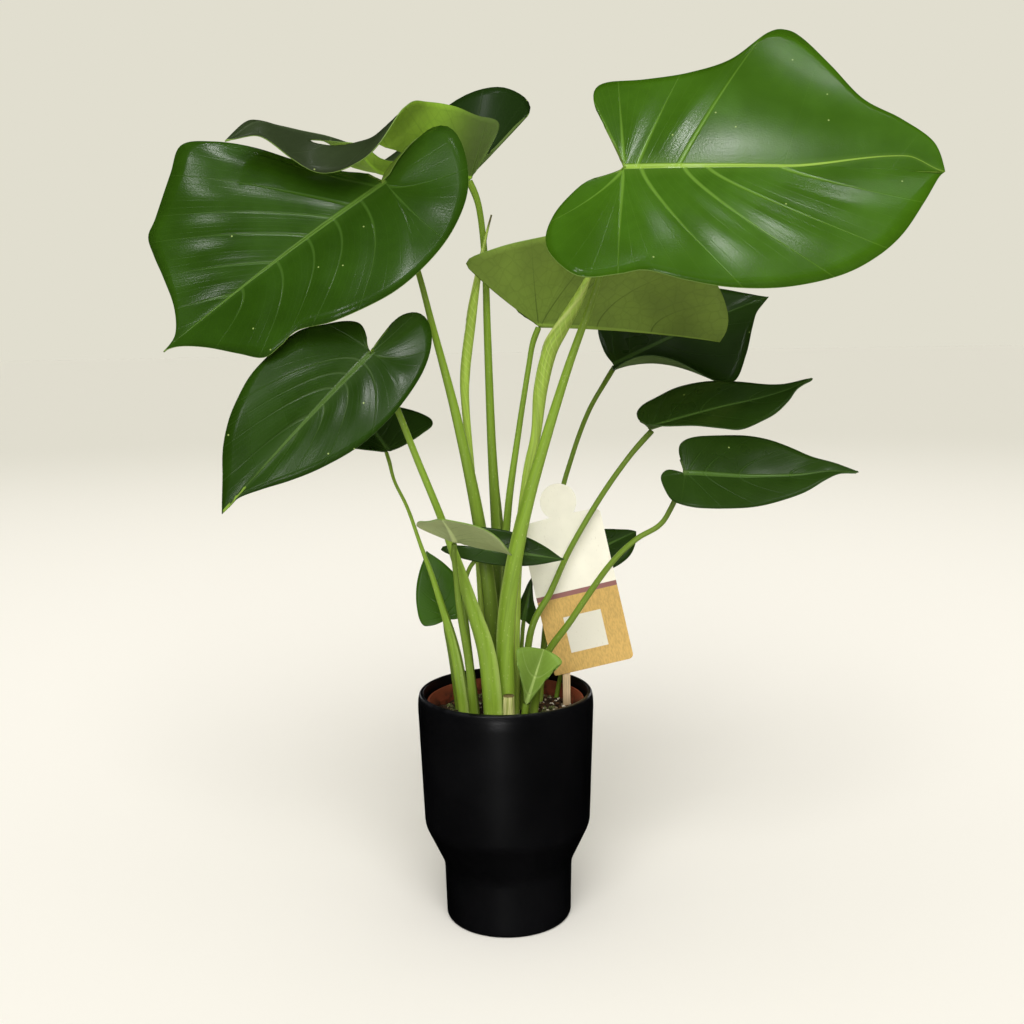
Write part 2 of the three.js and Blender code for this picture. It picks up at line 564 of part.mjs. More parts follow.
function labelStick() {
  const height = STICK_TOP_Z - STALK_FOOT_Z;
  return new THREE.BoxGeometry(STICK_WIDTH, STICK_DEPTH, height)
    .translate(STICK_X, CARD_FOOT[1] + stickOffset, STALK_FOOT_Z + height / 2);
}

const group = new THREE.Group();
function add(name, geometry, colour, roughness) {
  const material = new THREE.MeshStandardMaterial({ color: colour, roughness, metalness: 0 });
  const mesh = new THREE.Mesh(geometry, material);
  mesh.name = name;
  group.add(mesh);
  return mesh;
}

const stems = [
  ...LEAVES.map((leaf) => ({
    name: "stalk_" + leaf.name,
    course: wholeCourse(leaf),
    steps: leaf.stalk.length > 3 ? STALK_STEPS : 6,
    colour: STALK_GREEN,
  })),
  ...ROLLED_LEAVES.map(({ name, course }) => ({
    name, course: rooted(course), steps: 18, colour: 0x8fb83c,
  })),
  { name: "stalk_cut", course: rooted(CUT_STALK), steps: 3, colour: 0xb9c06a },
];

add("outer_pot", outerPot(), 0x141416, 0.45);
add("nursery_pot", nurseryPot(), 0x8a4630, 0.7);
add("soil", soil(stems), 0x2a2018, 0.95);
for (const leaf of LEAVES) add("leaf_" + leaf.name, leafBlade(leaf), leaf.colour, 0.35);
for (const { name, course, steps, colour } of stems)
  add(name, stalk(course, steps), colour, 0.45);

const card = add("label_card", labelCard(), 0xe9dcb8, 0.85);
card.position.set(...CARD_FOOT);
card.rotation.set(Math.PI / 2, 0, 0);
card.rotateZ(radians(CARD_LEAN_DEG));
add("label_stick", labelStick(), 0xcaa674, 0.7);

export default group;
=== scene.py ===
"""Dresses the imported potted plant: fine blades with veins, sheathed stalks, soil, pots and label."""
import math
import random

import bmesh
import bpy
import numpy as np
from mathutils import Matrix, Vector, noise


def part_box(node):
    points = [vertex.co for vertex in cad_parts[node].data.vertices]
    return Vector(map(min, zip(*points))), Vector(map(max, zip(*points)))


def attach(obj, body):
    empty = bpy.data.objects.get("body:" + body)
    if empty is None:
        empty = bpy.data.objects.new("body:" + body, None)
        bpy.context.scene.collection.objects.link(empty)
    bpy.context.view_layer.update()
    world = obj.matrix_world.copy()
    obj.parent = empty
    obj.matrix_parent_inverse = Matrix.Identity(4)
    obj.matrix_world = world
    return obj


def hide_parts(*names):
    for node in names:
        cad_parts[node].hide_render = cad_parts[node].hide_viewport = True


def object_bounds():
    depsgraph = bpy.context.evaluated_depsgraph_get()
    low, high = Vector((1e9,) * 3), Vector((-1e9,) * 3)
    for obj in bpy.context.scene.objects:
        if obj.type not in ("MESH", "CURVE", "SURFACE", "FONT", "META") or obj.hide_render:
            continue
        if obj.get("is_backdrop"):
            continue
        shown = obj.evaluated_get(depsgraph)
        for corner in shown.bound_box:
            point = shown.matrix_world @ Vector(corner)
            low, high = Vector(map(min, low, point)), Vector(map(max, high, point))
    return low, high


bl_info = {
    "name": "Potted Swiss Cheese Plant",
    "version": (1, 0, 0),
    "blender": (4, 5, 0),
    "location": "View3D > Sidebar > Plant",
    "description": "Builds a young monstera in a stepped black pot around its packed solids",
    "category": "Object",
}

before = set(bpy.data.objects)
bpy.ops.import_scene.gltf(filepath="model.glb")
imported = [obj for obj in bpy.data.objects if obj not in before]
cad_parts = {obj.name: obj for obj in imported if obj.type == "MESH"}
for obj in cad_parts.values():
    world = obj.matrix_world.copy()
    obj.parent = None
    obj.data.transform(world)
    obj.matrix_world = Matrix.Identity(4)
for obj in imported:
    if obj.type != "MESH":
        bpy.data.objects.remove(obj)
CAD_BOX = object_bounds()
BODY = "root"
MM = 0.001  # the tables below are in millimetres, and Blender's objects in metres


def tint(red, green, blue):
    """A display colour of 0 to 255 as the linear colour that the shaders take."""
    levels = [value / 255 for value in (red, green, blue)]
    return [v / 12.92 if v <= 0.04045 else ((v + 0.055) / 1.055) ** 2.4 for v in levels]


def scaled(colour, factor):
    return [min(value * factor, 1) for value in colour[:3]]


# How much red, green and blue light a level white sheet sends back, where 1 shows as white, and
# the share of it that is left beside the plant, which the near floor's paint makes up for with painted
# light
FLOOR_LIGHT = (1.044, 1.044, 1.012)
PLANT_SHADE = 0.97


def floor_paint(colour, share=1.0):
    """The paint that shows as this colour on the floor under that share of the light."""
    return [min(value / (light * share), 1) for value, light in zip(colour, FLOOR_LIGHT)]


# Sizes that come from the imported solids, in metres
POT_LOW, POT_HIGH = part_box("outer_pot")
NURSERY_LOW, NURSERY_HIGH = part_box("nursery_pot")
STICK_LOW, STICK_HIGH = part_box("label_stick")
SOIL_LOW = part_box("soil")[0]

# Sizes of the blades and stalks, in millimetres
BLADE_THICKNESS = 0.8
KEEL_DEPTH = 1.2
RIB_FOOT_WIDTH = 2.9
RIB_TIP_WIDTH = 0.5
RIB_RISE = 10  # how far the largest leaf's drawn midrib runs above the fold before its tip
SMALL_LENGTH = 80  # a shorter blade gets the coarser grid
FULL_RELIEF_LENGTH = 200  # a shorter blade has less quilting and lower waves
THICK_STALK = 4  # the radius at the soil from which a stalk gets the finer grid

# Counts of what repeats on them
FINE_VEINS = 5.0  # from one main vein to the next
MARGIN_WAVES = 2.6  # along one half's margin
SEAM_TURNS = 1.2  # of a rolled leaf's seam on its way up
THICK_GRID = (110, 40)  # steps along a stalk and sides round it
SLIM_GRID = (60, 20)
SPEAR_GRID = (150, 40)
STUB_GRID = (40, 42)
LARGE_GRID = dict(fan_rows=36, rows=110, columns=28, veins=4.5, fan_veins=2)
SMALL_GRID = dict(fan_rows=18, rows=52, columns=16, veins=3.5, fan_veins=2)
POT_GRID = dict(segments=10, pitch=6, sides=192)
NURSERY_GRID = dict(segments=4, pitch=8, sides=128)

# The knee of a stalk under its blade, in millimetres: how far below the end, and half its length
KNEE_BELOW = 6
KNEE_HALF = 9

# The sheath in radians round its stalk: half the groove's width, how far each lip is from the
# groove's middle, and half a lip's width
GROOVE_HALF = 0.42
LIP_OFF = 0.62
LIP_HALF = 0.17

# A rolled leaf: the share of its way up where the blade starts and the share over which it comes
# in, and the seam's first side in degrees and half its width as a share of a turn
BLADE_FROM = 0.42
BLADE_OVER = 0.12
SEAM_SIDE = 250
SEAM_HALF = 0.035

# Sizes of the pots and the soil, in millimetres
POT_WALL = 4.5
NURSERY_WALL = 1.6
NURSERY_FOOT = 52.5  # radius at the bottom
NURSERY_LIP = 3.2  # how far the rim stands out from the wall below it
STALK_FOOT_Z = 150
SOIL_TOP_Z = 166
SOIL_RADIUS = 57.0  # where it meets the nursery pot's wall, just under its top
SOIL_FOOT_RADIUS = 50.4
MOSS_LEAF_FACES = (
    (0, 1, 2, 3), (3, 2, 5), (1, 4, 2), (2, 4, 5), (0, 3, 4), (3, 5, 4), (0, 4, 1))

# Sizes and places on the label card, in millimetres from the middle of its lower edge
CARD_FOOT = (72, 14, 199)
CARD_THICKNESS = 0.8
CARD_EDGE = 0.18
CARD_CORNER = 4
CARD_NICK = 3
TAB_MIDDLE = (2, 138)
TAB_RADIUS = 14.5
CARD_BAND = (62, 66)
SQUARE_HALF = 15.35
SQUARE_HEIGHT = 30.7

# The camera's place beside the axis in millimetres, and its turns in degrees
CAMERA_ASIDE = 7.4
CAMERA_TILT = 82
CAMERA_ROLL = -0.9

# The floor in metres: its size, and where its paint starts and ends to take the wall's colour, from
# the painted light round the pot
FLOOR_RADIUS = 60.0
FLOOR_LIGHT_TO = 0.5
FLOOR_DIM_FROM = 5.4

# Distant lights: name, azimuth, elevation, spread, share of the power, and whether it is gloss
LIGHTS = (
    ("front_light", -91, 38, 50, 0.94, False),
    ("top_light", -90, 72, 80, 0.46, False),
    ("front_gloss", -97, 52, 5, 0.11, True),
    ("high_gloss", -32, 74, 3, 0.03, True),
    ("side_gloss", -118, 30, 6, 0.065, True),
    ("low_gloss", -99, -5, 8, 0.08, True),
    ("left_gloss", 116, 4, 12, 0.03, True),
    ("right_gloss", 64, 4, 12, 0.04, True),
)

# A common heart shape: [share of the lobe's or the blade's length, share of the half width],
# from the notch round the lobe to just before the tip
HEART = [
    [-0.5, 0.06], [-0.86, 0.22], [-1, 0.46], [-0.88, 0.7], [-0.45, 0.92], [0.1, 1],
    [0.34, 0.92], [0.55, 0.74], [0.74, 0.48], [0.88, 0.22], [0.95, 0.08],
]


def heart(length, left_half, right_half, lobe):
    return [
        [[x * (lobe if x < 0 else length), y * half] for x, y in HEART]
        for half in (left_half, right_half)
    ]


# The leaves as in the solids. base is where the stalk meets the blade. heading, pitch and roll
# turn the blade, in degrees. fold and curl give, for the left and right half, the angle at the
# midrib and the extra bend out to the margin, at even places from the lobes to the tip. droop and
# back bend the midrib down in front of and behind the base. edge is the outline of each half on
# the flattened blade. stalk is its course from the soil up, with radii. look names the finish.
# veins gives, for each half, where each main vein leaves the midrib, in millimetres, and where it
# meets the margin, as a share of the outline's way from the notch to the tip. bend is the power
# with which the veins of a half curve towards the tip, and quilt how strongly they dent the blade.
# arch raises the midrib by millimetres, at even places from the lobes to the tip, and bow shifts
# it sideways towards the tip. window is an oval opening in the left half, as the middle and the
# half size of its reach along the outline and of its reach from the midrib to the margin.
LEAVES = [
    dict(
        name="top_right", look="bright", base=[91, -50, 582], length=220,
        heading=-12, pitch=-1, roll=62, half=[115, 110],
        fold=[[4, 10, 6], [16, 10, 8]], curl=[[-14, -22, -22], [6, -14, -22]], droop=8, back=6,
        veins=[[[0, 0.16], [0, 0.29], [9, 0.385], [38, 0.52]],
               [[0, 0.2], [0, 0.41], [12, 0.6], [42, 0.7], [58, 0.79], [108, 0.88]]],
        bend=[1.05, 1.35], quilt=1.3,
        edge=[
            [[-3, 5], [-14, 30], [-24, 50], [-26, 66], [-17, 74], [10, 75], [43, 79], [72, 90],
             [97, 117], [110, 122], [122, 115], [142, 88], [164, 57], [190, 40], [212, 22]],
            [[-5, 8], [-22, 13], [-33, 24], [-44, 46], [-47, 72], [-39, 93], [-20, 109], [5, 102],
             [22, 95], [48, 98], [80, 100], [115, 97], [149, 87], [172, 73], [190, 54],
             [205, 27], [216, 4]],
        ],
        stalk=[[1, -22, 164, 7], [2, -25, 239, 6.4], [9, -30, 294, 5.6], [22, -34, 350, 4.6],
               [48, -40, 434, 3.2], [72, -43, 501, 2.4], [88, -45, 562, 2.2]],
    ),
    dict(
        name="top_left", look="mid", base=[-83, -20, 578], length=205,
        heading=-168, pitch=-34, roll=-62, half=[95, 110],
        fold=[[6, 18, 12], [-46, 18, 12]], curl=[[-6, -18, -18], [-34, -18, -18]],
        droop=10, back=6,
        veins=[[[0, 0.15], [0, 0.32], [0, 0.44], [22, 0.6], [46, 0.66], [70, 0.71], [98, 0.8],
                [130, 0.88]],
               [[6, 0.48], [30, 0.59], [46, 0.645], [68, 0.725], [100, 0.82], [138, 0.885]]],
        bend=[2.2, 1.1], quilt=1.4,
        edge=[
            [[-7, -2], [-20, -9], [-38, -15], [-54, -16], [-64, -8], [-64, 8], [-55, 30],
             [-40, 50], [-16, 67], [10, 78], [38, 84], [62, 83], [92, 75], [116, 62], [132, 62],
             [147, 60], [160, 44], [176, 23], [192, 7]],
            [[1, 4], [3, 8], [5, 15], [9, 22], [16, 30], [26, 41], [42, 58], [60, 79], [82, 99],
             [102, 111], [121, 99], [149, 82], [162, 75], [167, 60], [171, 42], [178, 20],
             [190, 4]],
        ],
        stalk=[[-7, 0, 164, 5.5], [-11, -2, 254, 5.2], [-20, -5, 329, 4.6], [-34, -9, 404, 3.6],
               [-50, -11, 471, 2.6], [-61, -12, 516, 2.2], [-75, -14, 558, 2.1]],
    ),
    dict(
        name="left", look="deep", base=[-93, -50, 454], length=158,
        heading=-153, pitch=-42, roll=-58, half=[56, 54],
        fold=[[12, 16, 10], [4, 16, 10]], curl=[[-14, -20, -18], [-14, -20, -18]],
        droop=12, back=6,
        veins=[[[0, 0.2], [0, 0.36], [10, 0.57], [30, 0.66], [52, 0.73], [78, 0.81]],
               [[0, 0.15], [0, 0.3], [10, 0.62], [24, 0.7], [38, 0.76], [65, 0.86]]],
        bend=[2, 1.8], quilt=1.6,
        edge=[
            [[-7, -1], [-20, -4], [-36, -4], [-46, 3], [-46, 14], [-36, 27], [-17, 38], [6, 44],
             [32, 46], [60, 43], [88, 33], [109, 22], [126, 11], [141, 2], [150, 0]],
            [[-2, 6], [-9, 14], [-11, 22], [-5, 30], [8, 39], [24, 49], [45, 52], [70, 52],
             [92, 46], [108, 39], [124, 29], [138, 17], [150, 7]],
        ],
        stalk=[[-9.5, -33, 164, 6.3], [-14, -32, 219, 6], [-26, -35, 265, 4.6],
               [-43, -38, 322, 3], [-62, -42, 374, 2.6], [-76, -45, 413, 2.4],
               [-87, -46, 440, 2.3]],
    ),
    dict(
        name="right_lower", look="dark", base=[137, -40, 361], length=127,
        heading=-9, pitch=4, roll=48, half=[40, 40],
        fold=[[12, 14, 10], [12, 14, 10]], curl=[[-18, -22, -18], [-18, -22, -18]],
        droop=12, back=6, arch=[0, 0, 0, -4, -7, -7, -5, 0, 0],
        edge=[
            [[-2, 8], [-4, 18], [-2, 26], [8, 32], [25, 36], [44, 37], [62, 32], [80, 23],
             [96, 13], [112, 6]],
            [[-5, -3], [-13, -5], [-18, 1], [-17, 10], [-12, 23], [-5, 29], [6, 33], [20, 33],
             [38, 31], [54, 28], [71, 23], [87, 17], [101, 9], [114, 2]],
        ],
        stalk=[[20, -12, 164, 3.5], [29, -15, 209, 3], [52, -23, 247, 2.6], [80, -29, 289, 2.3],
               [100, -33, 310, 2.1], [118, -34, 321, 2], [127, -34, 334, 2]],
    ),
    dict(
        name="right_upper", look="dark", base=[117, 10, 392], length=131,
        heading=-4, pitch=18, roll=30, half=[45, 45],
        fold=[[14, 16, 10], [70, 16, 10]], curl=[[-18, -22, -18], [-18, -22, -18]],
        droop=12, back=6, arch=[0, 0, 0, 0, 0, 0, 2, 9],
        edge=[
            [[-3, 6], [-7, 13], [-6, 21], [1, 28], [12, 33], [30, 38], [52, 34], [76, 24],
             [94, 15], [110, 8], [122, 3]],
            [[-1, 5], [-3, 13], [1, 20], [8, 25], [18, 26], [32, 28], [50, 34], [63, 37],
             [79, 32], [93, 27], [106, 17], [117, 5]],
        ],
        stalk=[[13, 3, 164, 3.2], [20, 0, 229, 2.8], [37, 2, 264, 2.5], [53, 4, 298, 2.3],
               [77, 6, 338, 2.2], [100, 7, 370, 2.1]],
    ),
    dict(
        name="arched_behind", look="arched", base=[-22, 50, 589], length=198,
        heading=210, pitch=11, roll=0, half=[58, 90],
        arch=[0, 0, 0, 0, -5, -10, -13, -9, 5, 10, 12, 14, 16, 2],
        fold=[[65, 65, 65, 63, 64, 36, -20, -54, -48, -35], [78, 72, 32, 14, 10, 9, 9]],
        curl=[[10, 10, 10, 0, -10, -10, -10], [-6, -8, -2, 0, 0]],
        droop=14, back=0, window=dict(row=0.7, half_row=0.1, column=0.375, half_column=0.125),
        edge=[
            [[-3, 6], [-8, 26], [-10, 46], [8, 49], [31, 57], [54, 60], [76, 62], [98, 58],
             [118, 48], [141, 38], [163, 26], [178, 15], [190, 6]],
            [[-3, 6], [-15, 22], [-28, 41], [-44, 60], [-56, 75], [-52, 86], [-32, 90], [-8, 86],
             [20, 80], [50, 68], [80, 54], [110, 38], [140, 26], [168, 16], [190, 6]],
        ],
        stalk=[[-1, 21, 164, 5.5], [-4, 28, 285, 5], [-8, 35, 376, 3.6], [-10, 41, 467, 3],
               [-11, 45, 524, 2.6], [-15, 49, 566, 2.5]],
    ),
    dict(
        name="centre_upright", look="centre", base=[31, 45, 473], length=154,
        heading=8, pitch=-2, roll=0, half=[90, 100],
        fold=[[75, 70, 60], [62, 66, 60]], curl=[[-20, -20, -20], [-10, -14, -20]],
        droop=7, back=-20, bow=8,
        edge=[
            [[-6, 4], [-18, 12], [-24, 32], [-16, 54], [2, 68], [30, 78], [60, 74], [94, 60],
             [120, 40], [139, 18], [148, 7]],
            [[-4, 8], [-14, 20], [-30, 28], [-46, 34], [-64, 42], [-68, 48], [-60, 56],
             [-32, 70], [8, 80], [50, 86], [88, 84], [117, 70], [139, 47], [152, 27], [156, 12]],
        ],
        stalk=[[3, 10, 164, 4], [0, 13, 255, 3.6], [4, 19, 325, 3], [14, 30, 391, 2.4],
               [22, 38, 437, 2.2], [26, 43, 458, 2.2]],
    ),
    dict(
        name="dark_behind", look="dark", base=[96, 98, 440], length=155,
        heading=12, pitch=25, roll=42, half=[75, 72],
        fold=[[14, 12, 8], [66, 17, -8, 8, 8]], curl=[[-18, -20, -18], [80, 120, 36, -14, -18]],
        droop=10, back=0,
        edge=[
            [[-1, 5], [0, 18], [6, 38], [18, 56], [40, 68], [66, 66], [96, 50], [122, 28],
             [138, 12], [146, 5]],
            [[-3, 4], [-6, 14], [-4, 26], [5, 36], [22, 50], [44, 66], [70, 74], [97, 53],
             [118, 30], [133, 14], [146, 5]],
        ],
        stalk=[[26, 28, 164, 3], [35, 42, 238, 2.6], [46, 58, 322, 2.2], [59, 70, 367, 2],
               [73, 82, 401, 2], [88, 94, 425, 2]],
    ),
    dict(
        name="left_small", look="dark", base=[-91, 20, 377], length=72,
        heading=128, pitch=38, roll=-8, half=[44, 44],
        fold=[[34, 24, 8], [46, 26, 8]], curl=[[-20, -20, -20], [-20, -20, -20]],
        droop=14, back=0, edge=heart(72, 44, 44, 6),
        stalk=[[-31, -17, 164, 4.2], [-39, -11, 217, 3.6], [-53, -1, 268, 2.4],
               [-65, 6, 302, 1.6], [-75, 11, 331, 1.4], [-85, 15, 352, 1.3],
               [-89, 18, 367, 1.4]],
    ),
    dict(
        name="low_left", look="fresh", base=[-47, 11, 243], length=57,
        heading=130, pitch=66, roll=-30, half=[30, 30],
        fold=[[8, 8, 6], [8, 8, 6]], curl=[[-20, -20, -20], [-20, -20, -20]],
        droop=10, back=0, edge=heart(57, 21, 23, 4),
        stalk=[[-37, 11, 164, 2.2], [-43, 12, 203, 1.8], [-47, 12, 231, 1.6]],
    ),
    dict(
        name="low_front", look="grey", base=[-35, -58, 316], length=50,
        heading=-98, pitch=34, roll=0, half=[44, 40],
        fold=[[6, 4, 2], [26, 22, 10]], curl=[[-34, -40, -20], [-10, -14, -20]],
        droop=14, back=0,
        edge=[
            [[-6, 6], [-12, 20], [-8, 36], [4, 47], [18, 44], [30, 33], [40, 16], [46, 6]],
            [[-4, 4], [-5, 11], [-2, 21], [4, 30], [16, 26], [27, 18], [38, 10], [46, 4]],
        ],
        stalk=[[-24, -31, 164, 3.2], [-27, -41, 214, 2.8], [-33, -47, 260, 2.4],
               [-35, -53, 288, 2], [-36, -57, 305, 1.8]],
    ),
    dict(
        name="low_middle", look="dark", base=[-12, -17, 303], length=60,
        heading=-3, pitch=-9, roll=80, half=[24, 16],
        fold=[[8, 10, 8], [8, 10, 8]], curl=[[-16, -16, -16], [-16, -16, -16]],
        droop=4, back=10, edge=heart(60, 16, 12, 36),
        stalk=[[-21, -9, 164, 2.4], [-29, -11, 234, 2.2], [-31, -12, 266, 1.8],
               [-27, -14, 285, 1.6], [-19, -15, 296, 1.5]],
    ),
    dict(
        name="behind_card", look="dark", base=[62, 60, 279], length=54,
        heading=-5, pitch=28, roll=60, half=[20, 24],
        fold=[[8, 8, 8], [8, 8, 8]], curl=[[-20, -20, -20], [-20, -20, -20]],
        droop=10, back=0,
        edge=[
            [[-5, 2], [-9, 5], [-10, 9], [-8, 14], [-4, 18], [6, 20], [19, 18], [31, 14],
             [42, 8], [49, 4]],
            [[-5, 2], [-9, 6], [-10, 11], [-8, 16], [-3, 19], [8, 21], [20, 21], [32, 20],
             [41, 17], [48, 11], [52, 4]],
        ],
        stalk=[[38, 30, 164, 2], [50, 42, 209, 1.7], [58, 57, 250, 1.5]],
    ),
    dict(
        name="beside_card", look="dark", base=[15.5, 25, 237], length=36,
        heading=0, pitch=78, roll=84, half=[10, 14],
        fold=[[40, 40, 20], [24, 24, 20]], curl=[[-10, -10, -10], [-20, -20, -20]],
        droop=6, back=0,
        edge=[
            [[-1, 2], [3, 5], [9, 7], [16, 6], [23, 4], [30, 2]],
            [[-2, 3], [-3, 7], [0, 11], [5, 12], [10, 9], [17, 5], [27, 2]],
        ],
        stalk=[[10, 15, 164, 2], [13, 23, 202, 1.7], [14.5, 26, 226, 1.5]],
    ),
    dict(
        name="unfurling", look="young", base=[16, -28, 181.4], length=46,
        heading=0, pitch=72, roll=82, half=[16, 16],
        fold=[[55, 46, 24], [55, 46, 24]], curl=[[10, 0, -10], [10, 0, -10]],
        droop=0, back=0,
        edge=[
            [[3, 3], [14, 9], [26, 15], [36, 20], [42, 20], [45, 11]],
            [[3, 3], [14, 7], [26, 11], [36, 15], [43, 17], [46, 9]],
        ],
        stalk=[[14, -27, 164, 3], [15, -26, 174, 2.6]],
    ),
]

# Leaves that are still rolled up, as [x, y, z, radius] from the soil to the tip
ROLLED_LEAVES = {
    "rolled_leaf_left": [
        [-14, 11, 164, 4], [-18, 13, 264, 3.4], [-23, 18, 344, 2.6], [-28, 24, 408, 3.2],
        [-28, 28, 438, 4], [-23, 32, 475, 4], [-17, 34, 509, 2.6], [-10, 35, 541, 1.2],
        [-5, 35, 559, 0.7]],
    "rolled_leaf_right": [
        [6, -5, 164, 4.6], [10, 2, 274, 4], [19, 4, 353, 3.6], [27, 5, 389, 4],
        [31, 6, 424, 5.5], [38, 7, 452, 6], [48, 8, 470, 5.6], [60, 9, 490, 4.4],
        [70, 10, 510, 2]],
}
INNER_STALKS = {"top_left", "arched_behind", "centre_upright"}
CUT_STALK = [
    [2.6, -38, 164, 4.6], [2.6, -38, 176, 4.5], [2.6, -38, 187, 4.3], [2.6, -38, 192, 4.2]]

# The looks whose leaves get the dark slot's name, those with a dull rim, and the rolled leaves whose
# tips are dry
DARK_LOOKS = {"dark", "fresh", "grey"}
DULL_RIMS = {"deep", "fresh", "dark"}
DRY_TIPS = {"rolled_leaf_left": 0.85}

# The sheath wings of the stalks: how far up they reach, in millimetres above the soil, how far
# they stand out, and the compass side they open to, in degrees from +X
SHEATHS = {
    "top_right": dict(reach=210, height=2.4, side=150),
    "top_left": dict(reach=230, height=1.6, side=40),
    "left": dict(reach=150, height=4.2, side=10),
    "arched_behind": dict(reach=175, height=3.0, side=-25),
    "centre_upright": dict(reach=150, height=1.2, side=-90),
    "left_small": dict(reach=90, height=2.8, side=-10),
    "right_lower": dict(reach=60, height=1.2, side=160),
    "right_upper": dict(reach=60, height=1.0, side=160),
    "low_front": dict(reach=60, height=1.4, side=20),
}


def colour_setting(name, description, colour):
    return bpy.props.FloatVectorProperty(
        name=name, description=description, subtype="COLOR", size=3, default=colour)


def length_setting(name, description, length, **limits):
    return bpy.props.FloatProperty(
        name=name, description=description, unit="LENGTH", default=length, **limits)


def count_setting(name, description, count):
    return bpy.props.IntProperty(name=name, description=description, default=count, min=0)


class LeafSettings(bpy.types.PropertyGroup):
    """Colours and relief of the blades and stalks"""

    bright: colour_setting("Bright blade", "Upper face of the largest leaf", tint(56, 93, 12))
    mid: colour_setting("Middle blade", "Upper face of the other large leaves", tint(41, 71, 10))
    dark: colour_setting("Dark blade", "Upper face of the older small leaves", tint(35, 58, 12))
    under: colour_setting("Underside", "Lower face of the blades", tint(104, 130, 46))
    vein: colour_setting("Veins", "Main veins on the largest leaf", tint(112, 152, 52))
    stalk: colour_setting("Stalks", "Leaf stalks", tint(129, 160, 48))
    rolled: colour_setting("Rolled leaves", "Leaves that haven't opened yet", tint(158, 186, 72))
    quilt: length_setting("Quilting", "How far a large blade bulges between its veins", 0.6 * MM,
                          min=0, max=2 * MM)
    wave: length_setting("Margin wave", "How far the margins wave up and down", 1.2 * MM,
                         min=0, max=4 * MM)


class PotSettings(bpy.types.PropertyGroup):
    """Sizes and colours of the two pots"""

    height: length_setting("Height", "Outer pot's height", POT_HIGH.z - POT_LOW.z)
    rim_radius: length_setting("Rim radius", "Outer pot's radius just below its rim",
                               (POT_HIGH.x - POT_LOW.x) / 2)
    nursery_radius: length_setting("Nursery rim radius", "Nursery pot's radius at its rim",
                                   (NURSERY_HIGH.x - NURSERY_LOW.x) / 2)
    glaze: colour_setting("Glaze", "Outer pot's satin glaze", tint(9, 9, 11))
    plastic: colour_setting("Nursery plastic", "Nursery pot's plastic", tint(132, 66, 42))


class SoilSettings(bpy.types.PropertyGroup):
    """What lies on the soil"""

    grains: count_setting("Light grains", "Pieces of perlite and grit", 260)
    chips: count_setting("Bark chips", "Brown chips of bark and peat", 220)
    tufts: count_setting("Moss tufts", "Small tufts of moss", 84)
    seed: count_setting("Seed", "Start of the random placing", 7)


class LabelSettings(bpy.types.PropertyGroup):
    """Sizes and colours of the label card and its stick"""

    width: length_setting("Card width", "Width of the card", 65.5 * MM)
    shoulder: length_setting("Shoulder height", "Height of the card up to its round tab", 126 * MM)
    lean: bpy.props.FloatProperty(
        name="Lean", description="How far the card leans to the left", unit="ROTATION",
        default=math.radians(12.5))
    cream: colour_setting("Upper card", "Cream paper of the upper part", tint(246, 242, 225))
    kraft: colour_setting("Lower card", "Brown paper of the lower part", tint(206, 170, 100))
    band: colour_setting("Band", "Plain stripe between the two", tint(150, 104, 100))
    wood: colour_setting("Stick", "Bare wood of the stick", tint(240, 212, 168))


class StageSettings(bpy.types.PropertyGroup):
    """Camera, floor and light"""

    lens: bpy.props.FloatProperty(
        name="Lens", description="Camera's focal length", unit="CAMERA", default=42.19)
    camera_height: length_setting("Camera height", "Camera's height above the floor", 0.459)
    camera_distance: length_setting("Camera distance",
                                    "Camera's distance in front of the pot's centre", 0.929)
    # Its default paint is lightened to cancel the plant's shade: painted light
    floor: colour_setting("Floor", "Pale floor round the pot",
                          floor_paint(tint(251, 247, 235), PLANT_SHADE))
    wall: colour_setting("Wall", "Pale wall far behind", tint(225, 222, 207))
    room_light: bpy.props.FloatProperty(
        name="Room light", description="Share of the wall's light that falls on the plant",
        subtype="FACTOR", default=0.26, min=0, max=1)
    key_power: bpy.props.FloatProperty(
        name="Light", description="Strength of the soft lights", default=2.6, min=0)


SETTINGS = {
    "plant_leaves": LeafSettings,
    "plant_pot": PotSettings,
    "plant_soil": SoilSettings,
    "plant_label": LabelSettings,
    "plant_stage": StageSettings,
}


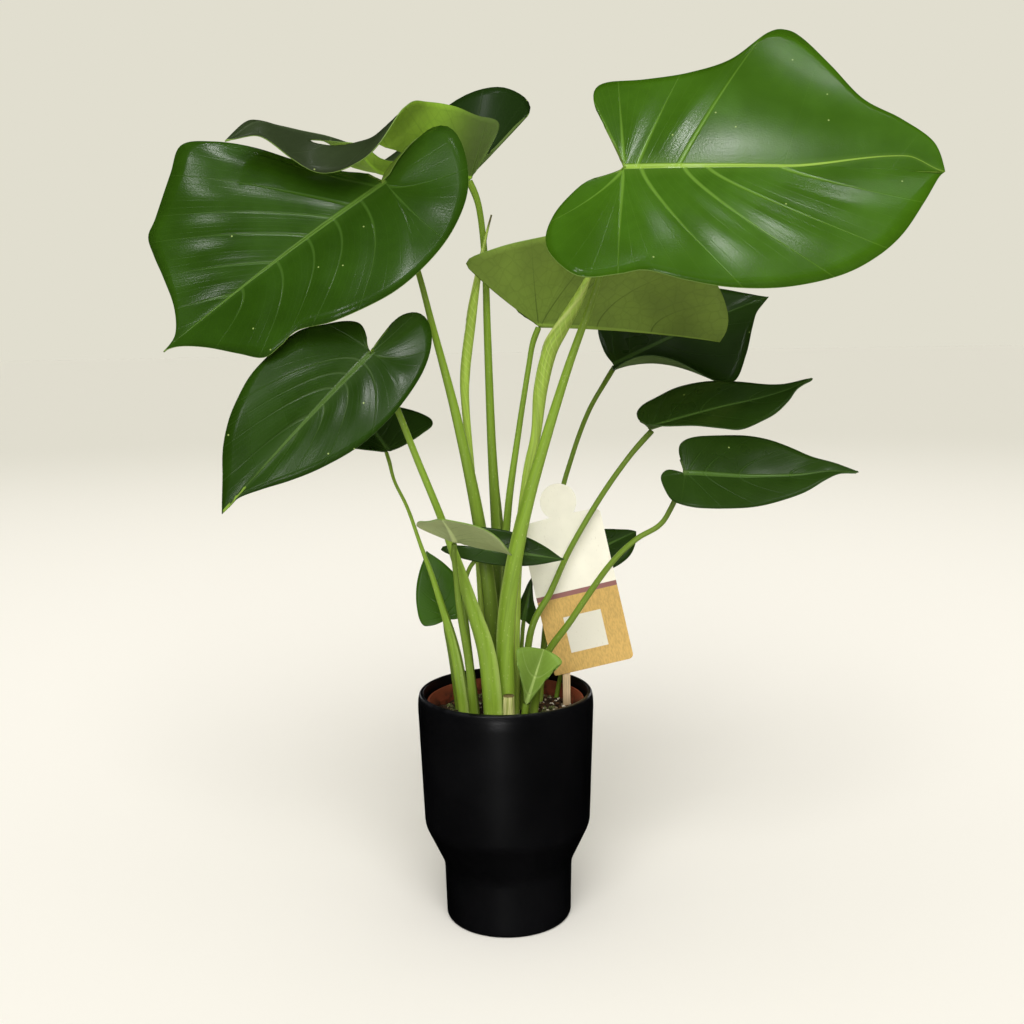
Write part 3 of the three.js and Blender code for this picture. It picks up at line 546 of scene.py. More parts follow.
class Finish:
    """A node material that is being put together round one Principled shader."""

    def __init__(self, name, specular=0.5):
        self.material = bpy.data.materials.new(name)
        self.material.use_nodes = True
        self.tree = self.material.node_tree
        self.shader = self.tree.nodes["Principled BSDF"]
        self.shader.inputs["Specular IOR Level"].default_value = specular

    def node(self, kind, inputs=None, **settings):
        """Adds a node. An input is a plain value, or an output socket that is linked to it."""
        made = self.tree.nodes.new("ShaderNode" + kind)
        for key, value in settings.items():
            setattr(made, key, value)
        for key, value in (inputs or {}).items():
            if isinstance(value, bpy.types.NodeSocket):
                self.tree.links.new(value, made.inputs[key])
            else:
                made.inputs[key].default_value = value
        return made

    def math(self, operation, *values):
        return self.node("Math", dict(enumerate(values)), operation=operation).outputs[0]

    def times(self, first, second):
        return self.math("MULTIPLY", first, second)

    def off_half(self, phase):
        """How far the phase is from the middle between two whole numbers."""
        return self.math("ABSOLUTE", self.math("SUBTRACT", self.math("FRACT", phase), 0.5))

    def total(self, *parts):
        """The sum of several values, each given with its weight."""
        terms = [self.times(value, weight) for value, weight in parts]
        total = terms[0]
        for term in terms[1:]:
            total = self.math("ADD", total, term)
        return total

    def fade(self, value, low, high, start=1.0, end=0.0):
        """A smooth step from start to end while value goes from low to high."""
        inputs = {"Value": value, "From Min": low, "From Max": high, "To Min": start, "To Max": end}
        made = self.node("MapRange", inputs, interpolation_type="SMOOTHSTEP")
        return made.outputs["Result"]

    def noise(self, vector, scale, detail=3.0, roughness=0.5):
        inputs = {"Vector": vector, "Scale": scale, "Detail": detail, "Roughness": roughness}
        return self.node("TexNoise", inputs).outputs["Fac"]

    def stretched(self, vector, *scales):
        inputs = {0: vector, 1: scales}
        return self.node("VectorMath", inputs, operation="MULTIPLY").outputs[0]

    def mix(self, share, first, second):
        """Mixes two colours, each given as a list or as an output socket."""
        made = self.node("Mix", data_type="RGBA", clamp_factor=True)
        for index, value in ((0, share), (6, first), (7, second)):
            if isinstance(value, bpy.types.NodeSocket):
                self.tree.links.new(value, made.inputs[index])
            else:
                made.inputs[index].default_value = (*value[:3], 1)
        return made.outputs[2]

    def over(self, base, *layers):
        """The base with further colours laid over it, each given after its share."""
        for share, colour in layers:
            base = self.mix(share, base, colour)
        return base

    def shades(self, value, dark, light, low=0.3, high=0.7):
        """One colour where the noise is low and another where it is high."""
        return self.mix(self.fade(value, low, high, 0.0, 1.0), dark, light)

    def mottled(self, value, colour, darker, lighter):
        """The colour, taken down where the noise is low and up where it is high."""
        return self.shades(value, scaled(colour, darker), scaled(colour, lighter))

    def attribute(self, name):
        """A mesh attribute as a vector, and its three parts."""
        made = self.node("Attribute", attribute_name=name)
        parts = self.node("SeparateXYZ", {0: made.outputs["Vector"]}).outputs
        return made.outputs["Vector"], parts[0], parts[1], parts[2]

    def place(self):
        """The place on the object in metres, and the height alone."""
        place = self.node("TexCoord").outputs["Object"]
        return place, self.node("SeparateXYZ", {0: place}).outputs[2]

    def roughness(self, value, smooth, rough, low=0.2, high=0.8):
        """Takes the roughness from smooth to rough while the noise goes from low to high."""
        share = self.fade(value, low, high, smooth, rough)
        self.tree.links.new(share, self.shader.inputs["Roughness"])

    def done(self, colour, height=None, distance=0.0, strength=1.0):
        """Links the colour and any relief to the shader, and gives back the material."""
        self.tree.links.new(colour, self.shader.inputs["Base Color"])
        if height is not None:
            inputs = {"Height": height, "Distance": distance, "Strength": strength}
            self.tree.links.new(self.node("Bump", inputs).outputs[0], self.shader.inputs["Normal"])
        return self.material


def blended(first, second, share):
    return [a + (b - a) * share for a, b in zip(first[:3], second[:3])]


def vein_masks(finish, breadth, rib_rise=0.0):
    """Main veins, the finer ones between them and the midrib, each from 0 to 1, then how many of
    its widths the midrib is away, the blade's flat coordinates and the share of its length. The
    blade's attributes give the veins' phase and their spacing. breadth is a main vein's half
    width in millimetres, and rib_rise how far the drawn midrib is moved up before the tip."""
    _, phase, out, spacing = finish.attribute("vein_flow")
    flat, along, across, share = finish.attribute("blade_flat")
    width = finish.fade(out, 0.0, 0.9, breadth, 0.3 * breadth)
    offset = finish.math("DIVIDE", finish.times(finish.off_half(phase), spacing), width)
    main = finish.times(finish.fade(offset, 0.2, 1.0), finish.fade(out, 0.1, 0.95, 1.0, 0.3))
    fine_offset = finish.times(finish.off_half(finish.times(phase, FINE_VEINS)),
                               finish.math("DIVIDE", spacing, FINE_VEINS))
    fine = finish.fade(fine_offset, 0.1, 0.45)
    shift = finish.times(finish.fade(share, 0.5, 0.88, 0.0, rib_rise * MM),
                         finish.fade(share, 0.88, 1.0))
    aside = finish.math("ABSOLUTE", finish.math("SUBTRACT", across, shift))
    rib_width = finish.fade(share, -0.1, 1.0, RIB_FOOT_WIDTH * MM, RIB_TIP_WIDTH * MM)
    rib_offset = finish.math("DIVIDE", aside, rib_width)
    rib = finish.times(finish.fade(rib_offset, 0.45, 1.0),
                       finish.fade(along, -2.5 * MM, -0.5 * MM, 0.0, 1.0))
    return main, fine, rib, rib_offset, finish.stretched(flat, 1.0, 1.0, 0.0), share


def blade_top_finish(name, green, vein, rib_colour, pale=0.5, gloss=0.19, breadth=1.4,
                     rib_rise=0.0, near=None):
    """The glossy upper face: mottled green, pale midrib and veins, fine crinkle between them.
    pale is the share of the veins' colour, gloss the least roughness, and near the colour that
    the blade has close to its stalk, if it differs there."""
    finish = Finish(name, 0.4)
    main, fine, rib, rib_offset, flat, share = vein_masks(finish, breadth, rib_rise)
    patches = finish.noise(flat, 16.0)
    mottle = finish.fade(finish.noise(flat, 140.0, 4.0), 0.35, 0.75, 0.0, 0.18)
    base = finish.over(finish.mottled(patches, green, 0.84, 1.18), (mottle, scaled(green, 0.7)))
    if near:
        base = finish.mix(finish.fade(share, 0.0, 0.3), base, near)
    cells = finish.node("TexVoronoi", {"Vector": flat, "Scale": 26.0},
                        voronoi_dimensions="2D").outputs
    drawn = finish.node("SeparateColor", {0: cells["Color"]}).outputs[0]
    speck = finish.times(finish.fade(drawn, 0.6, 0.62, 0.0, 0.8),
                         finish.fade(cells["Distance"], 0.01, 0.02))
    base = finish.over(
        base,
        (finish.fade(rib_offset, 0.8, 5.0, 0.3, 0.0), blended(green, vein, 0.4)),
        (finish.times(fine, 0.04), vein),
        (finish.times(main, pale), vein),
        (finish.times(rib, finish.fade(share, 0.55, 1.0, 0.95, 0.4)), rib_colour),
        (speck, tint(170, 190, 110)))
    finish.roughness(patches, gloss, gloss + 0.08, 0.25)
    crinkle = finish.noise(flat, 700.0, 2.0)
    relief = finish.total((crinkle, 0.2), (main, -0.8), (fine, -0.07), (rib, 0.9))
    return finish.done(base, relief, 0.5 * MM, 0.7)


def blade_under_finish(name, under, vein_dark, near=None):
    """The dull underside: pale, with raised veins and a net of fine darker ones."""
    finish = Finish(name, 0.25)
    main, fine, rib, _, flat, share = vein_masks(finish, 0.9)
    patches = finish.noise(flat, 20.0)
    base = finish.mottled(patches, under, 0.86, 1.14)
    if near:
        base = finish.mix(finish.fade(share, 0.0, 0.25), base, near)
    net = finish.node("TexVoronoi", {"Vector": flat, "Scale": 110.0},
                      feature="DISTANCE_TO_EDGE").outputs["Distance"]
    base = finish.over(
        base,
        (finish.fade(net, 0.02, 0.08, 0.14, 0.0), vein_dark),
        (finish.times(fine, 0.12), vein_dark),
        (finish.times(main, 0.55), vein_dark),
        (finish.times(rib, 0.85), scaled(under, 1.5)))
    finish.roughness(patches, 0.5, 0.62, 0.25)
    relief = finish.total((main, 0.7), (fine, 0.15), (finish.fade(net, 0.02, 0.12, 0.2, 0.0), 1.0))
    return finish.done(base, relief, 0.4 * MM, 0.6)


def margin_finish(name, colour):
    """The blade's thin pale rim."""
    finish = Finish(name)
    streaks = finish.noise(finish.place()[0], 240.0)
    finish.roughness(streaks, 0.4, 0.55)
    return finish.done(finish.mix(streaks, scaled(colour, 0.8), scaled(colour, 1.2)))


def stalk_finish(name, colour, edge, speck_share=0.3, shade=0.0):
    """Smooth stalk skin: fine streaks along it, pale specks, darker towards the blade. The last
    argument darkens it low down as well: painted shade, as if leaves above shadowed it."""
    finish = Finish(name)
    around, _, _, share = finish.attribute("stalk_flow")
    wing = finish.attribute("stalk_wing")[1]
    streaks = finish.noise(finish.stretched(around, 900.0, 30.0, 0.0), 1.0)
    tone = finish.noise(finish.stretched(around, 120.0, 9.0, 0.0), 1.0, 2.0)
    cells = finish.node("TexVoronoi", {"Vector": finish.stretched(around, 420.0, 190.0, 0.0),
                                       "Scale": 1.0}).outputs["Distance"]
    dot = finish.fade(cells, 0.1, 0.2, speck_share, 0.0)
    base = finish.over(
        finish.mottled(streaks, colour, 0.9, 1.1),
        (finish.fade(tone, 0.45, 0.75, 0.0, 0.5), scaled(colour, 0.6)),
        (finish.fade(share, 0.0, 0.1, 0.35, 0.0), tint(176, 190, 96)),
        # painted shade low down on the stalks that leaves above would shadow
        (finish.fade(share, 0.02, 0.5, shade, 0.0), scaled(colour, 0.3)),
        (finish.fade(share, 0.55, 1.0, 0.0, 0.35), scaled(colour, 0.62)),
        (finish.times(wing, 0.75), edge),
        (dot, tint(196, 208, 132)))
    finish.roughness(streaks, 0.34, 0.48)
    return finish.done(base, finish.total((streaks, 0.5), (dot, 1.0)), 0.2 * MM, 0.6)


def rolled_finish(name, colour, dry=0.0):
    """A rolled blade: bright, with slanting ribs and a pale seam. dry browns its tip."""
    finish = Finish(name)
    around, turn, length, share = finish.attribute("stalk_flow")
    seam = finish.attribute("stalk_wing")[1]
    slant = finish.total((length, 160.0), (turn, 140.0))
    line = finish.times(finish.fade(finish.off_half(slant), 0.02, 0.14),
                        finish.fade(share, 0.4, 0.55, 0.0, 1.0))
    streaks = finish.noise(finish.stretched(around, 700.0, 26.0, 0.0), 1.0)
    base = finish.over(
        finish.mottled(streaks, colour, 0.82, 1.18),
        (finish.times(line, 0.5), tint(196, 214, 110)),
        (finish.times(seam, 0.8), tint(206, 220, 128)),
        (finish.fade(share, 0.9, 0.95, 0.0, dry), tint(84, 66, 48)))
    finish.roughness(streaks, 0.34, 0.46)
    return finish.done(base, finish.total((streaks, 0.4), (line, 0.8)), 0.3 * MM, 0.6)


def spline(points, u):
    """Catmull-Rom values at each u, from 0 to 1, through evenly spaced points."""
    points = np.asarray(points, float)
    last = len(points) - 1
    k = np.minimum((u * last).astype(int), last - 1)
    f = (u * last - k)[:, None]
    p0, p1, p2, p3 = (points[np.clip(k + step, 0, last)] for step in (-1, 0, 1, 2))
    return 0.5 * (
        2 * p1 + (p2 - p0) * f + (2 * p0 - 5 * p1 + 4 * p2 - p3) * f**2
        + (3 * p1 - p0 - 3 * p2 + p3) * f**3)


def stations(values, share):
    """The value at each share of an even row of stations from the lobes (-0.3) to the tip (1)."""
    u = np.clip((share + 0.3) / 1.3, 0, 1)
    return spline([[value] for value in values], u.ravel())[:, 0].reshape(share.shape)


def leaf_axes(leaf):
    """Unit vectors along the midrib, to its left, and up from the blade."""
    heading, pitch, roll = (math.radians(leaf[key]) for key in ("heading", "pitch", "roll"))
    along = np.array([math.cos(pitch) * math.cos(heading), math.cos(pitch) * math.sin(heading),
                      math.sin(pitch)])
    level = np.array([-math.sin(heading), math.cos(heading), 0])
    upright = np.cross(along, level)
    left = level * math.cos(roll) + upright * math.sin(roll)
    up = upright * math.cos(roll) - level * math.sin(roll)
    return along, left, up


def arc(angle, length):
    """How far an arc of this angle per length goes on and rises, for arrays of either."""
    small = np.abs(angle) < 1e-9
    safe = np.where(small, 1, angle)
    on = np.where(small, length, np.sin(safe * length) / safe)
    rise = np.where(small, 0, (1 - np.cos(safe * length)) / safe)
    return on, rise


def blade_point(leaf, x, y, side):
    """Points of the blade's upper face in millimetres, from places on the flattened blade."""
    along, left, up = leaf_axes(leaf)
    share = x / leaf["length"]
    bend = np.radians(np.where(x >= 0, leaf["droop"], leaf["back"])) / leaf["length"]
    forward, drop = arc(bend, x)
    up_here = up * np.cos(bend * x)[..., None] + along * np.sin(bend * x)[..., None]
    fold = np.radians(stations(leaf["fold"][side], share))
    curl = np.radians(stations(leaf["curl"][side], share)) / leaf["half"][side]
    on, rise_here = arc(curl, y)
    out = on * np.cos(fold) - rise_here * np.sin(fold)
    rise = on * np.sin(fold) + rise_here * np.cos(fold)
    bow = leaf.get("bow", 0) * share * np.abs(share)
    arch = stations(leaf["arch"], share) if "arch" in leaf else 0 * share
    sign = -1 if side else 1
    return (
        np.array(leaf["base"], float)
        + along * forward[..., None]
        + up * (arch - drop)[..., None]
        + left * (sign * out + bow)[..., None]
        + up_here * rise[..., None])


def blade_half(leaf, side, grid):
    """Flat places, vein phases and vein spacings on one half of a blade, in rows and columns.
    A row follows a vein's course: out from the stalk's end round the lobes, and from there on
    from the midrib, ever further forward towards the tip. Also says which cells are cut out."""
    length = leaf["length"]
    fine = np.linspace(0, 1, 2001)
    edge = leaf["edge"][side] + [[length, 0]]
    points = spline(edge, fine)
    behind = np.flatnonzero(points[:, 0] <= 0.35 * np.abs(points[:, 1]))
    begin = max(behind.max(initial=0) + 1, 100)
    walk = np.concatenate([[0], np.cumsum(np.hypot(*np.diff(points, axis=0).T))])
    walk_fan = np.linspace(0, walk[begin], grid["fan_rows"], endpoint=False)
    share = np.linspace(0, 1, grid["rows"] + 1)
    walk_rows = walk[begin] + share * (walk[-1] - walk[begin])
    u = np.interp(np.concatenate([walk_fan, walk_rows]), walk, fine)
    share = np.concatenate([np.zeros(grid["fan_rows"]), share])
    t = 0.975 * np.linspace(0, 1, grid["columns"] + 1) ** 1.5
    t[-1] = 1
    u, t = np.meshgrid(u, t, indexing="ij")
    share = np.repeat(share[:, None], t.shape[1], axis=1)
    hole = None
    if "window" in leaf and side == 0:
        u, t, hole = cut_window(u, t, leaf["window"])
        share = np.clip((np.interp(u, fine, walk) - walk[begin]) / (walk[-1] - walk[begin]), 0, 1)
    rim = spline(edge, u.ravel()).reshape(*u.shape, 2)
    if "veins" in leaf:
        starts, ends = zip(*leaf["veins"][side])
        ahead = [(end, start) for start, end in zip(starts, ends) if start > 0]
        midrib = np.interp(u, *zip((fine[begin], 0), *ahead, (1, length)))
        phase = np.interp(u[:, 0], [0, *ends, 1], [0, *(np.arange(len(ends)) + 0.5), len(ends)])
        power = leaf["bend"][side]
    else:
        midrib = length * share**2
        phase = np.concatenate([
            np.linspace(-grid["fan_veins"], 0, grid["fan_rows"], endpoint=False),
            grid["veins"] * np.linspace(0, 1, grid["rows"] + 1)])
        power = 1 + 1.4 * share
    x = midrib + (rim[..., 0] - midrib) * t**power
    y = rim[..., 1] * t
    flat = np.stack([x, y], axis=-1)
    per_phase = np.gradient(flat, axis=0) / np.gradient(phase)[:, None, None]
    course = np.gradient(flat, axis=1)
    course /= np.maximum(np.linalg.norm(course, axis=-1, keepdims=True), 1e-9)
    spacing = np.abs(
        per_phase[..., 0] * course[..., 1] - per_phase[..., 1] * course[..., 0])
    return x, y, phase, t, spacing, u, hole


def cut_window(u, t, window):
    """Moves the places round a blade's opening onto its oval, and says which cells it takes."""
    row = (u - window["row"]) / window["half_row"]
    column = (t - window["column"]) / window["half_column"]
    middle = np.hypot((row[:-1, :-1] + row[1:, 1:]) / 2, (column[:-1, :-1] + column[1:, 1:]) / 2)
    hole = middle < 1
    taken = np.zeros(u.shape, int)
    around = np.zeros(u.shape, int)
    for i in (0, 1):
        for j in (0, 1):
            corner = (slice(i, u.shape[0] - 1 + i), slice(j, u.shape[1] - 1 + j))
            taken[corner] += hole
            around[corner] += 1
    rim = (taken > 0) & (taken < around)
    reach = np.maximum(np.hypot(row, column), 1e-6)
    u = np.where(rim, window["row"] + (u - window["row"]) / reach, u)
    t = np.where(rim, window["column"] + (t - window["column"]) / reach, t)
    return u, t, hole


def half_ids(shape, fan, first, midrib_ids):
    """Vertex numbers on one half's grid, and which of its places are new vertices. The rows of
    the fan start at one point, the last row is the tip, and both halves share the midrib."""
    new = np.ones(shape, bool)
    new[-1, 1:] = False
    if midrib_ids is None:
        new[:fan, 0] = False
    else:
        new[:, 0] = False
    ids = np.full(shape, -1)
    ids[new] = np.arange(first, first + new.sum())
    if midrib_ids is None:
        ids[:fan, 0] = ids[fan, 0]
    else:
        ids[:, 0] = midrib_ids
    ids[-1, :] = ids[-1, 0]
    return ids, new


def half_cells(ids, hole, reverse):
    """The grid places round each face of one half, without those that fall together."""
    for i in range(ids.shape[0] - 1):
        for j in range(ids.shape[1] - 1):
            if hole is not None and hole[i, j]:
                continue
            cell = [(i, j), (i, j + 1), (i + 1, j + 1), (i + 1, j)]
            if reverse:
                cell.reverse()
            kept = []
            for here in cell:
                if not kept or ids[here] != ids[kept[-1]]:
                    kept.append(here)
            if ids[kept[0]] == ids[kept[-1]]:
                kept.pop()
            if len(kept) > 2:
                yield kept


def blade_mesh(leaf, settings):
    """Vertices, faces, material numbers and attribute values of one fine blade."""
    length = leaf["length"]
    grid = SMALL_GRID if length < SMALL_LENGTH else LARGE_GRID
    size = min(length / FULL_RELIEF_LENGTH, 1)
    quilt = settings.quilt / MM * leaf.get("quilt", 1) * size
    tops, flats, relief, faces, corners = [], [], [], [], []
    midrib_ids = None
    count = 0
    for side in (0, 1):
        x, y, phase, t, spacing, u, hole = blade_half(leaf, side, grid)
        ids, new = half_ids(x.shape, grid["fan_rows"], count, midrib_ids)
        midrib_ids = ids[:, 0]
        count += int(new.sum())
        sign = -1 if side else 1
        bulge = np.cos(2 * np.pi * phase)[:, None] * np.sin(np.pi * t)
        wave = np.sin(2 * np.pi * (MARGIN_WAVES * u + 0.35 * side + length * 0.013))
        lift = quilt * bulge * np.clip((spacing - 6) / 34, 0, 1)
        lift += settings.wave / MM * size * wave * t**2
        tops.append(blade_point(leaf, x, y, side)[new])
        flats.append(np.stack([x * MM, sign * y * MM, x / length], axis=-1)[new])
        relief.append(lift[new])
        for kept in half_cells(ids, hole, side == 0):
            faces.append([int(ids[k]) for k in kept])
            corners.append([(phase[k[0]], t[k], spacing[k]) for k in kept])
    used = sorted({v for face in faces for v in face})
    renumber = {old: new for new, old in enumerate(used)}
    faces = [[renumber[v] for v in face] for face in faces]
    top, flat, lift = (np.concatenate(parts)[used] for parts in (tops, flats, relief))
    top = top + vertex_normals(top, faces) * lift[:, None]
    share = np.clip(flat[:, 2], 0, 1)
    keel = KEEL_DEPTH * (1 - 0.8 * share) * np.exp(-((flat[:, 1] / MM / 2.2) ** 2))
    keel *= flat[:, 0] > -3 * MM
    below = top - vertex_normals(top, faces) * (BLADE_THICKNESS + keel)[:, None]
    total = len(top)
    lower = [[v + total for v in reversed(face)] for face in faces]
    edges = dict.fromkeys(pair for face in faces for pair in zip(face, face[1:] + face[:1]))
    rim = [[b, a, a + total, b + total] for a, b in edges if (b, a) not in edges]
    corners += [values[::-1] for values in corners] + [[(0, 1, 1)] * 4] * len(rim)
    return dict(
        points=np.concatenate([top, below]) * MM,
        faces=faces + lower + rim,
        slots=[0] * len(faces) + [1] * len(lower) + [2] * len(rim),
        corners=[c for values in corners for c in values],
        flat=np.concatenate([flat, flat]),
    )


def vertex_normals(points, faces):
    """Unit normals at the vertices of a mesh of triangles and quads."""
    normals = np.zeros_like(points)
    for size in (3, 4):
        some = np.array([face for face in faces if len(face) == size])
        if not len(some):
            continue
        p = points[some]
        if size == 3:
            normal = np.cross(p[:, 1] - p[:, 0], p[:, 2] - p[:, 0])
        else:
            normal = np.cross(p[:, 2] - p[:, 0], p[:, 3] - p[:, 1])
        for column in range(size):
            np.add.at(normals, some[:, column], normal)
    return normals / np.maximum(np.linalg.norm(normals, axis=1, keepdims=True), 1e-12)


def placed(mesh, material):
    """A new object in the scene from mesh data, with one more material."""
    mesh.materials.append(material)
    piece = bpy.data.objects.new(mesh.name, mesh)
    bpy.context.scene.collection.objects.link(piece)
    return piece


def mesh_object(name, points, faces, materials, slots=None, smooth=True):
    """A new object in the scene from vertices in metres."""
    mesh = bpy.data.meshes.new(name)
    mesh.from_pydata([tuple(p) for p in points], [], faces)
    for material in materials[:-1]:
        mesh.materials.append(material)
    piece = placed(mesh, materials[-1])
    if slots is not None:
        mesh.polygons.foreach_set("material_index", slots)
    mesh.polygons.foreach_set("use_smooth", [smooth] * len(faces))
    mesh.update()
    return piece


def mesh_data(name, built):
    """Mesh data from a finished bmesh."""
    mesh = bpy.data.meshes.new(name)
    built.to_mesh(mesh)
    built.free()
    return mesh


def add_vectors(mesh, name, values, domain):
    layer = mesh.attributes.new(name, "FLOAT_VECTOR", domain)
    layer.data.foreach_set("vector", np.asarray(values, np.float32).ravel())


def dress(piece, slot, *nodes):
    """Puts a finished piece on the frame in place of its solids."""
    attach(piece, BODY)
    if nodes:
        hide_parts(*nodes)


def from_the_foot(course):
    """A course that starts at the stalk's foot in the soil, not at the soil's surface."""
    x, y, _, radius = course[0]
    return [[x, y, STALK_FOOT_Z, radius]] + course[1:]


def stalk_course(leaf):
    """The stalk's course from its foot in the soil to its blade's underside."""
    course = from_the_foot(leaf["stalk"])
    tip_radius = course[-1][3]
    up = leaf_axes(leaf)[2]
    base = np.array(leaf["base"], float)
    last = np.array(course[-1][:3], float)
    aim = (base - last) / np.linalg.norm(base - last)
    slant = math.sqrt(max(1 - aim.dot(up) ** 2, 0))
    folds = [max(float(stations(values, np.array([0.0]))[0]), 0) for values in leaf["fold"]]
    flatness = math.cos(math.radians(sum(folds) / 2))
    under = base - up * (BLADE_THICKNESS + 0.7 * KEEL_DEPTH + tip_radius * slant * flatness)
    return course + [[*under, tip_radius]]


def tube(course, steps, sides, section):
    """Vertices, faces and attributes of a closed tube. section gives the radius and the wing
    share for each side and step, from the line's points and the angles round the tube."""
    u = np.linspace(0, 1, steps + 1)
    line = spline(course, u)
    tangent = spline(course, np.minimum(u + 0.004, 1)) - spline(course, np.maximum(u - 0.004, 0))
    tangent = tangent[:, :3] / np.linalg.norm(tangent[:, :3], axis=1, keepdims=True)
    back = np.cross(tangent, np.cross([0, 1, 0], tangent))
    back /= np.linalg.norm(back, axis=1, keepdims=True)
    right = np.cross(back, tangent)
    angles = np.linspace(0, 2 * np.pi, sides, endpoint=False)
    radius, wing = section(line, angles)
    around = right[:, None, :] * np.cos(angles)[None, :, None]
    around = around + back[:, None, :] * np.sin(angles)[None, :, None]
    points = line[:, None, :3] + around * radius[..., None]
    pieces = np.linalg.norm(np.diff(line[:, :3], axis=0), axis=1)
    lengths = np.concatenate([[0], np.cumsum(pieces)])
    faces = []
    corners = []
    for i in range(steps):
        low, high = i * sides, (i + 1) * sides
        for k in range(sides):
            n = (k + 1) % sides
            faces.append([low + k, low + n, high + n, high + k])
            start, end = angles[k] * line[i, 3], (angles[k] + 2 * np.pi / sides) * line[i, 3]
            corners += [(start, lengths[i], u[i]), (end, lengths[i], u[i]),
                        (end, lengths[i + 1], u[i + 1]), (start, lengths[i + 1], u[i + 1])]
    top = steps * sides
    faces.append(list(reversed(range(sides))))
    faces.append([top + k for k in range(sides)])
    corners += [(0, 0, 0)] * sides + [(0, lengths[-1], 1)] * sides
    flow = np.array(corners, float) * [MM, MM, 1]
    return points.reshape(-1, 3) * MM, faces, flow, wing.reshape(-1)


def tube_object(name, course, steps, sides, section, material):
    points, faces, flow, wing = tube(course, steps, sides, section)
    piece = mesh_object(name, points, faces, [material])
    add_vectors(piece.data, "stalk_flow", flow, "CORNER")
    add_vectors(piece.data, "stalk_wing", np.stack([wing, wing * 0, wing * 0], -1), "POINT")
    return piece


def stalk_section(sheath):
    """A stalk that is round above and has a grooved sheath with two raised wings below."""

    def section(line, angles):
        height = line[:, 2:3]
        knee = np.exp(-(((height - line[-1, 2] + KNEE_BELOW) / KNEE_HALF) ** 2))
        radius = line[:, 3:4] * (1 + 0.12 * knee) * np.ones(len(angles))
        if not sheath:
            return radius, 0 * radius
        rise = np.clip((height - SOIL_TOP_Z) / sheath["reach"], 0, 1)
        strength = (1 - rise**1.6) ** 0.8
        off = (angles - math.radians(sheath["side"]) + np.pi) % (2 * np.pi) - np.pi
        groove = np.exp(-((off[None, :] / GROOVE_HALF) ** 2))
        lips = np.exp(-(((np.abs(off)[None, :] - LIP_OFF) / LIP_HALF) ** 2))
        radius = radius * (1 - 0.3 * strength * groove) + sheath["height"] * strength * lips
        return radius, strength * lips

    return section


def rolled_section(line, angles):
    """A blade rolled round itself: its radius grows round the roll and steps back at the seam."""
    u = np.linspace(0, 1, len(line))[:, None]
    blade = np.clip((u - BLADE_FROM) / BLADE_OVER, 0, 1)
    seam = 2 * np.pi * SEAM_TURNS * u + math.radians(SEAM_SIDE)
    turn = (angles[None, :] - seam) % (2 * np.pi) / (2 * np.pi)
    radius = line[:, 3:4] * (1 + blade * 0.2 * (turn - 0.5))
    return radius, blade * np.exp(-((np.minimum(turn, 1 - turn) / SEAM_HALF) ** 2))


def cut_section(line, angles):
    """A stub with seven low ribs."""
    radius = line[:, 3:4] * (1 + 0.05 * np.cos(7 * angles))
    return radius, 0 * radius


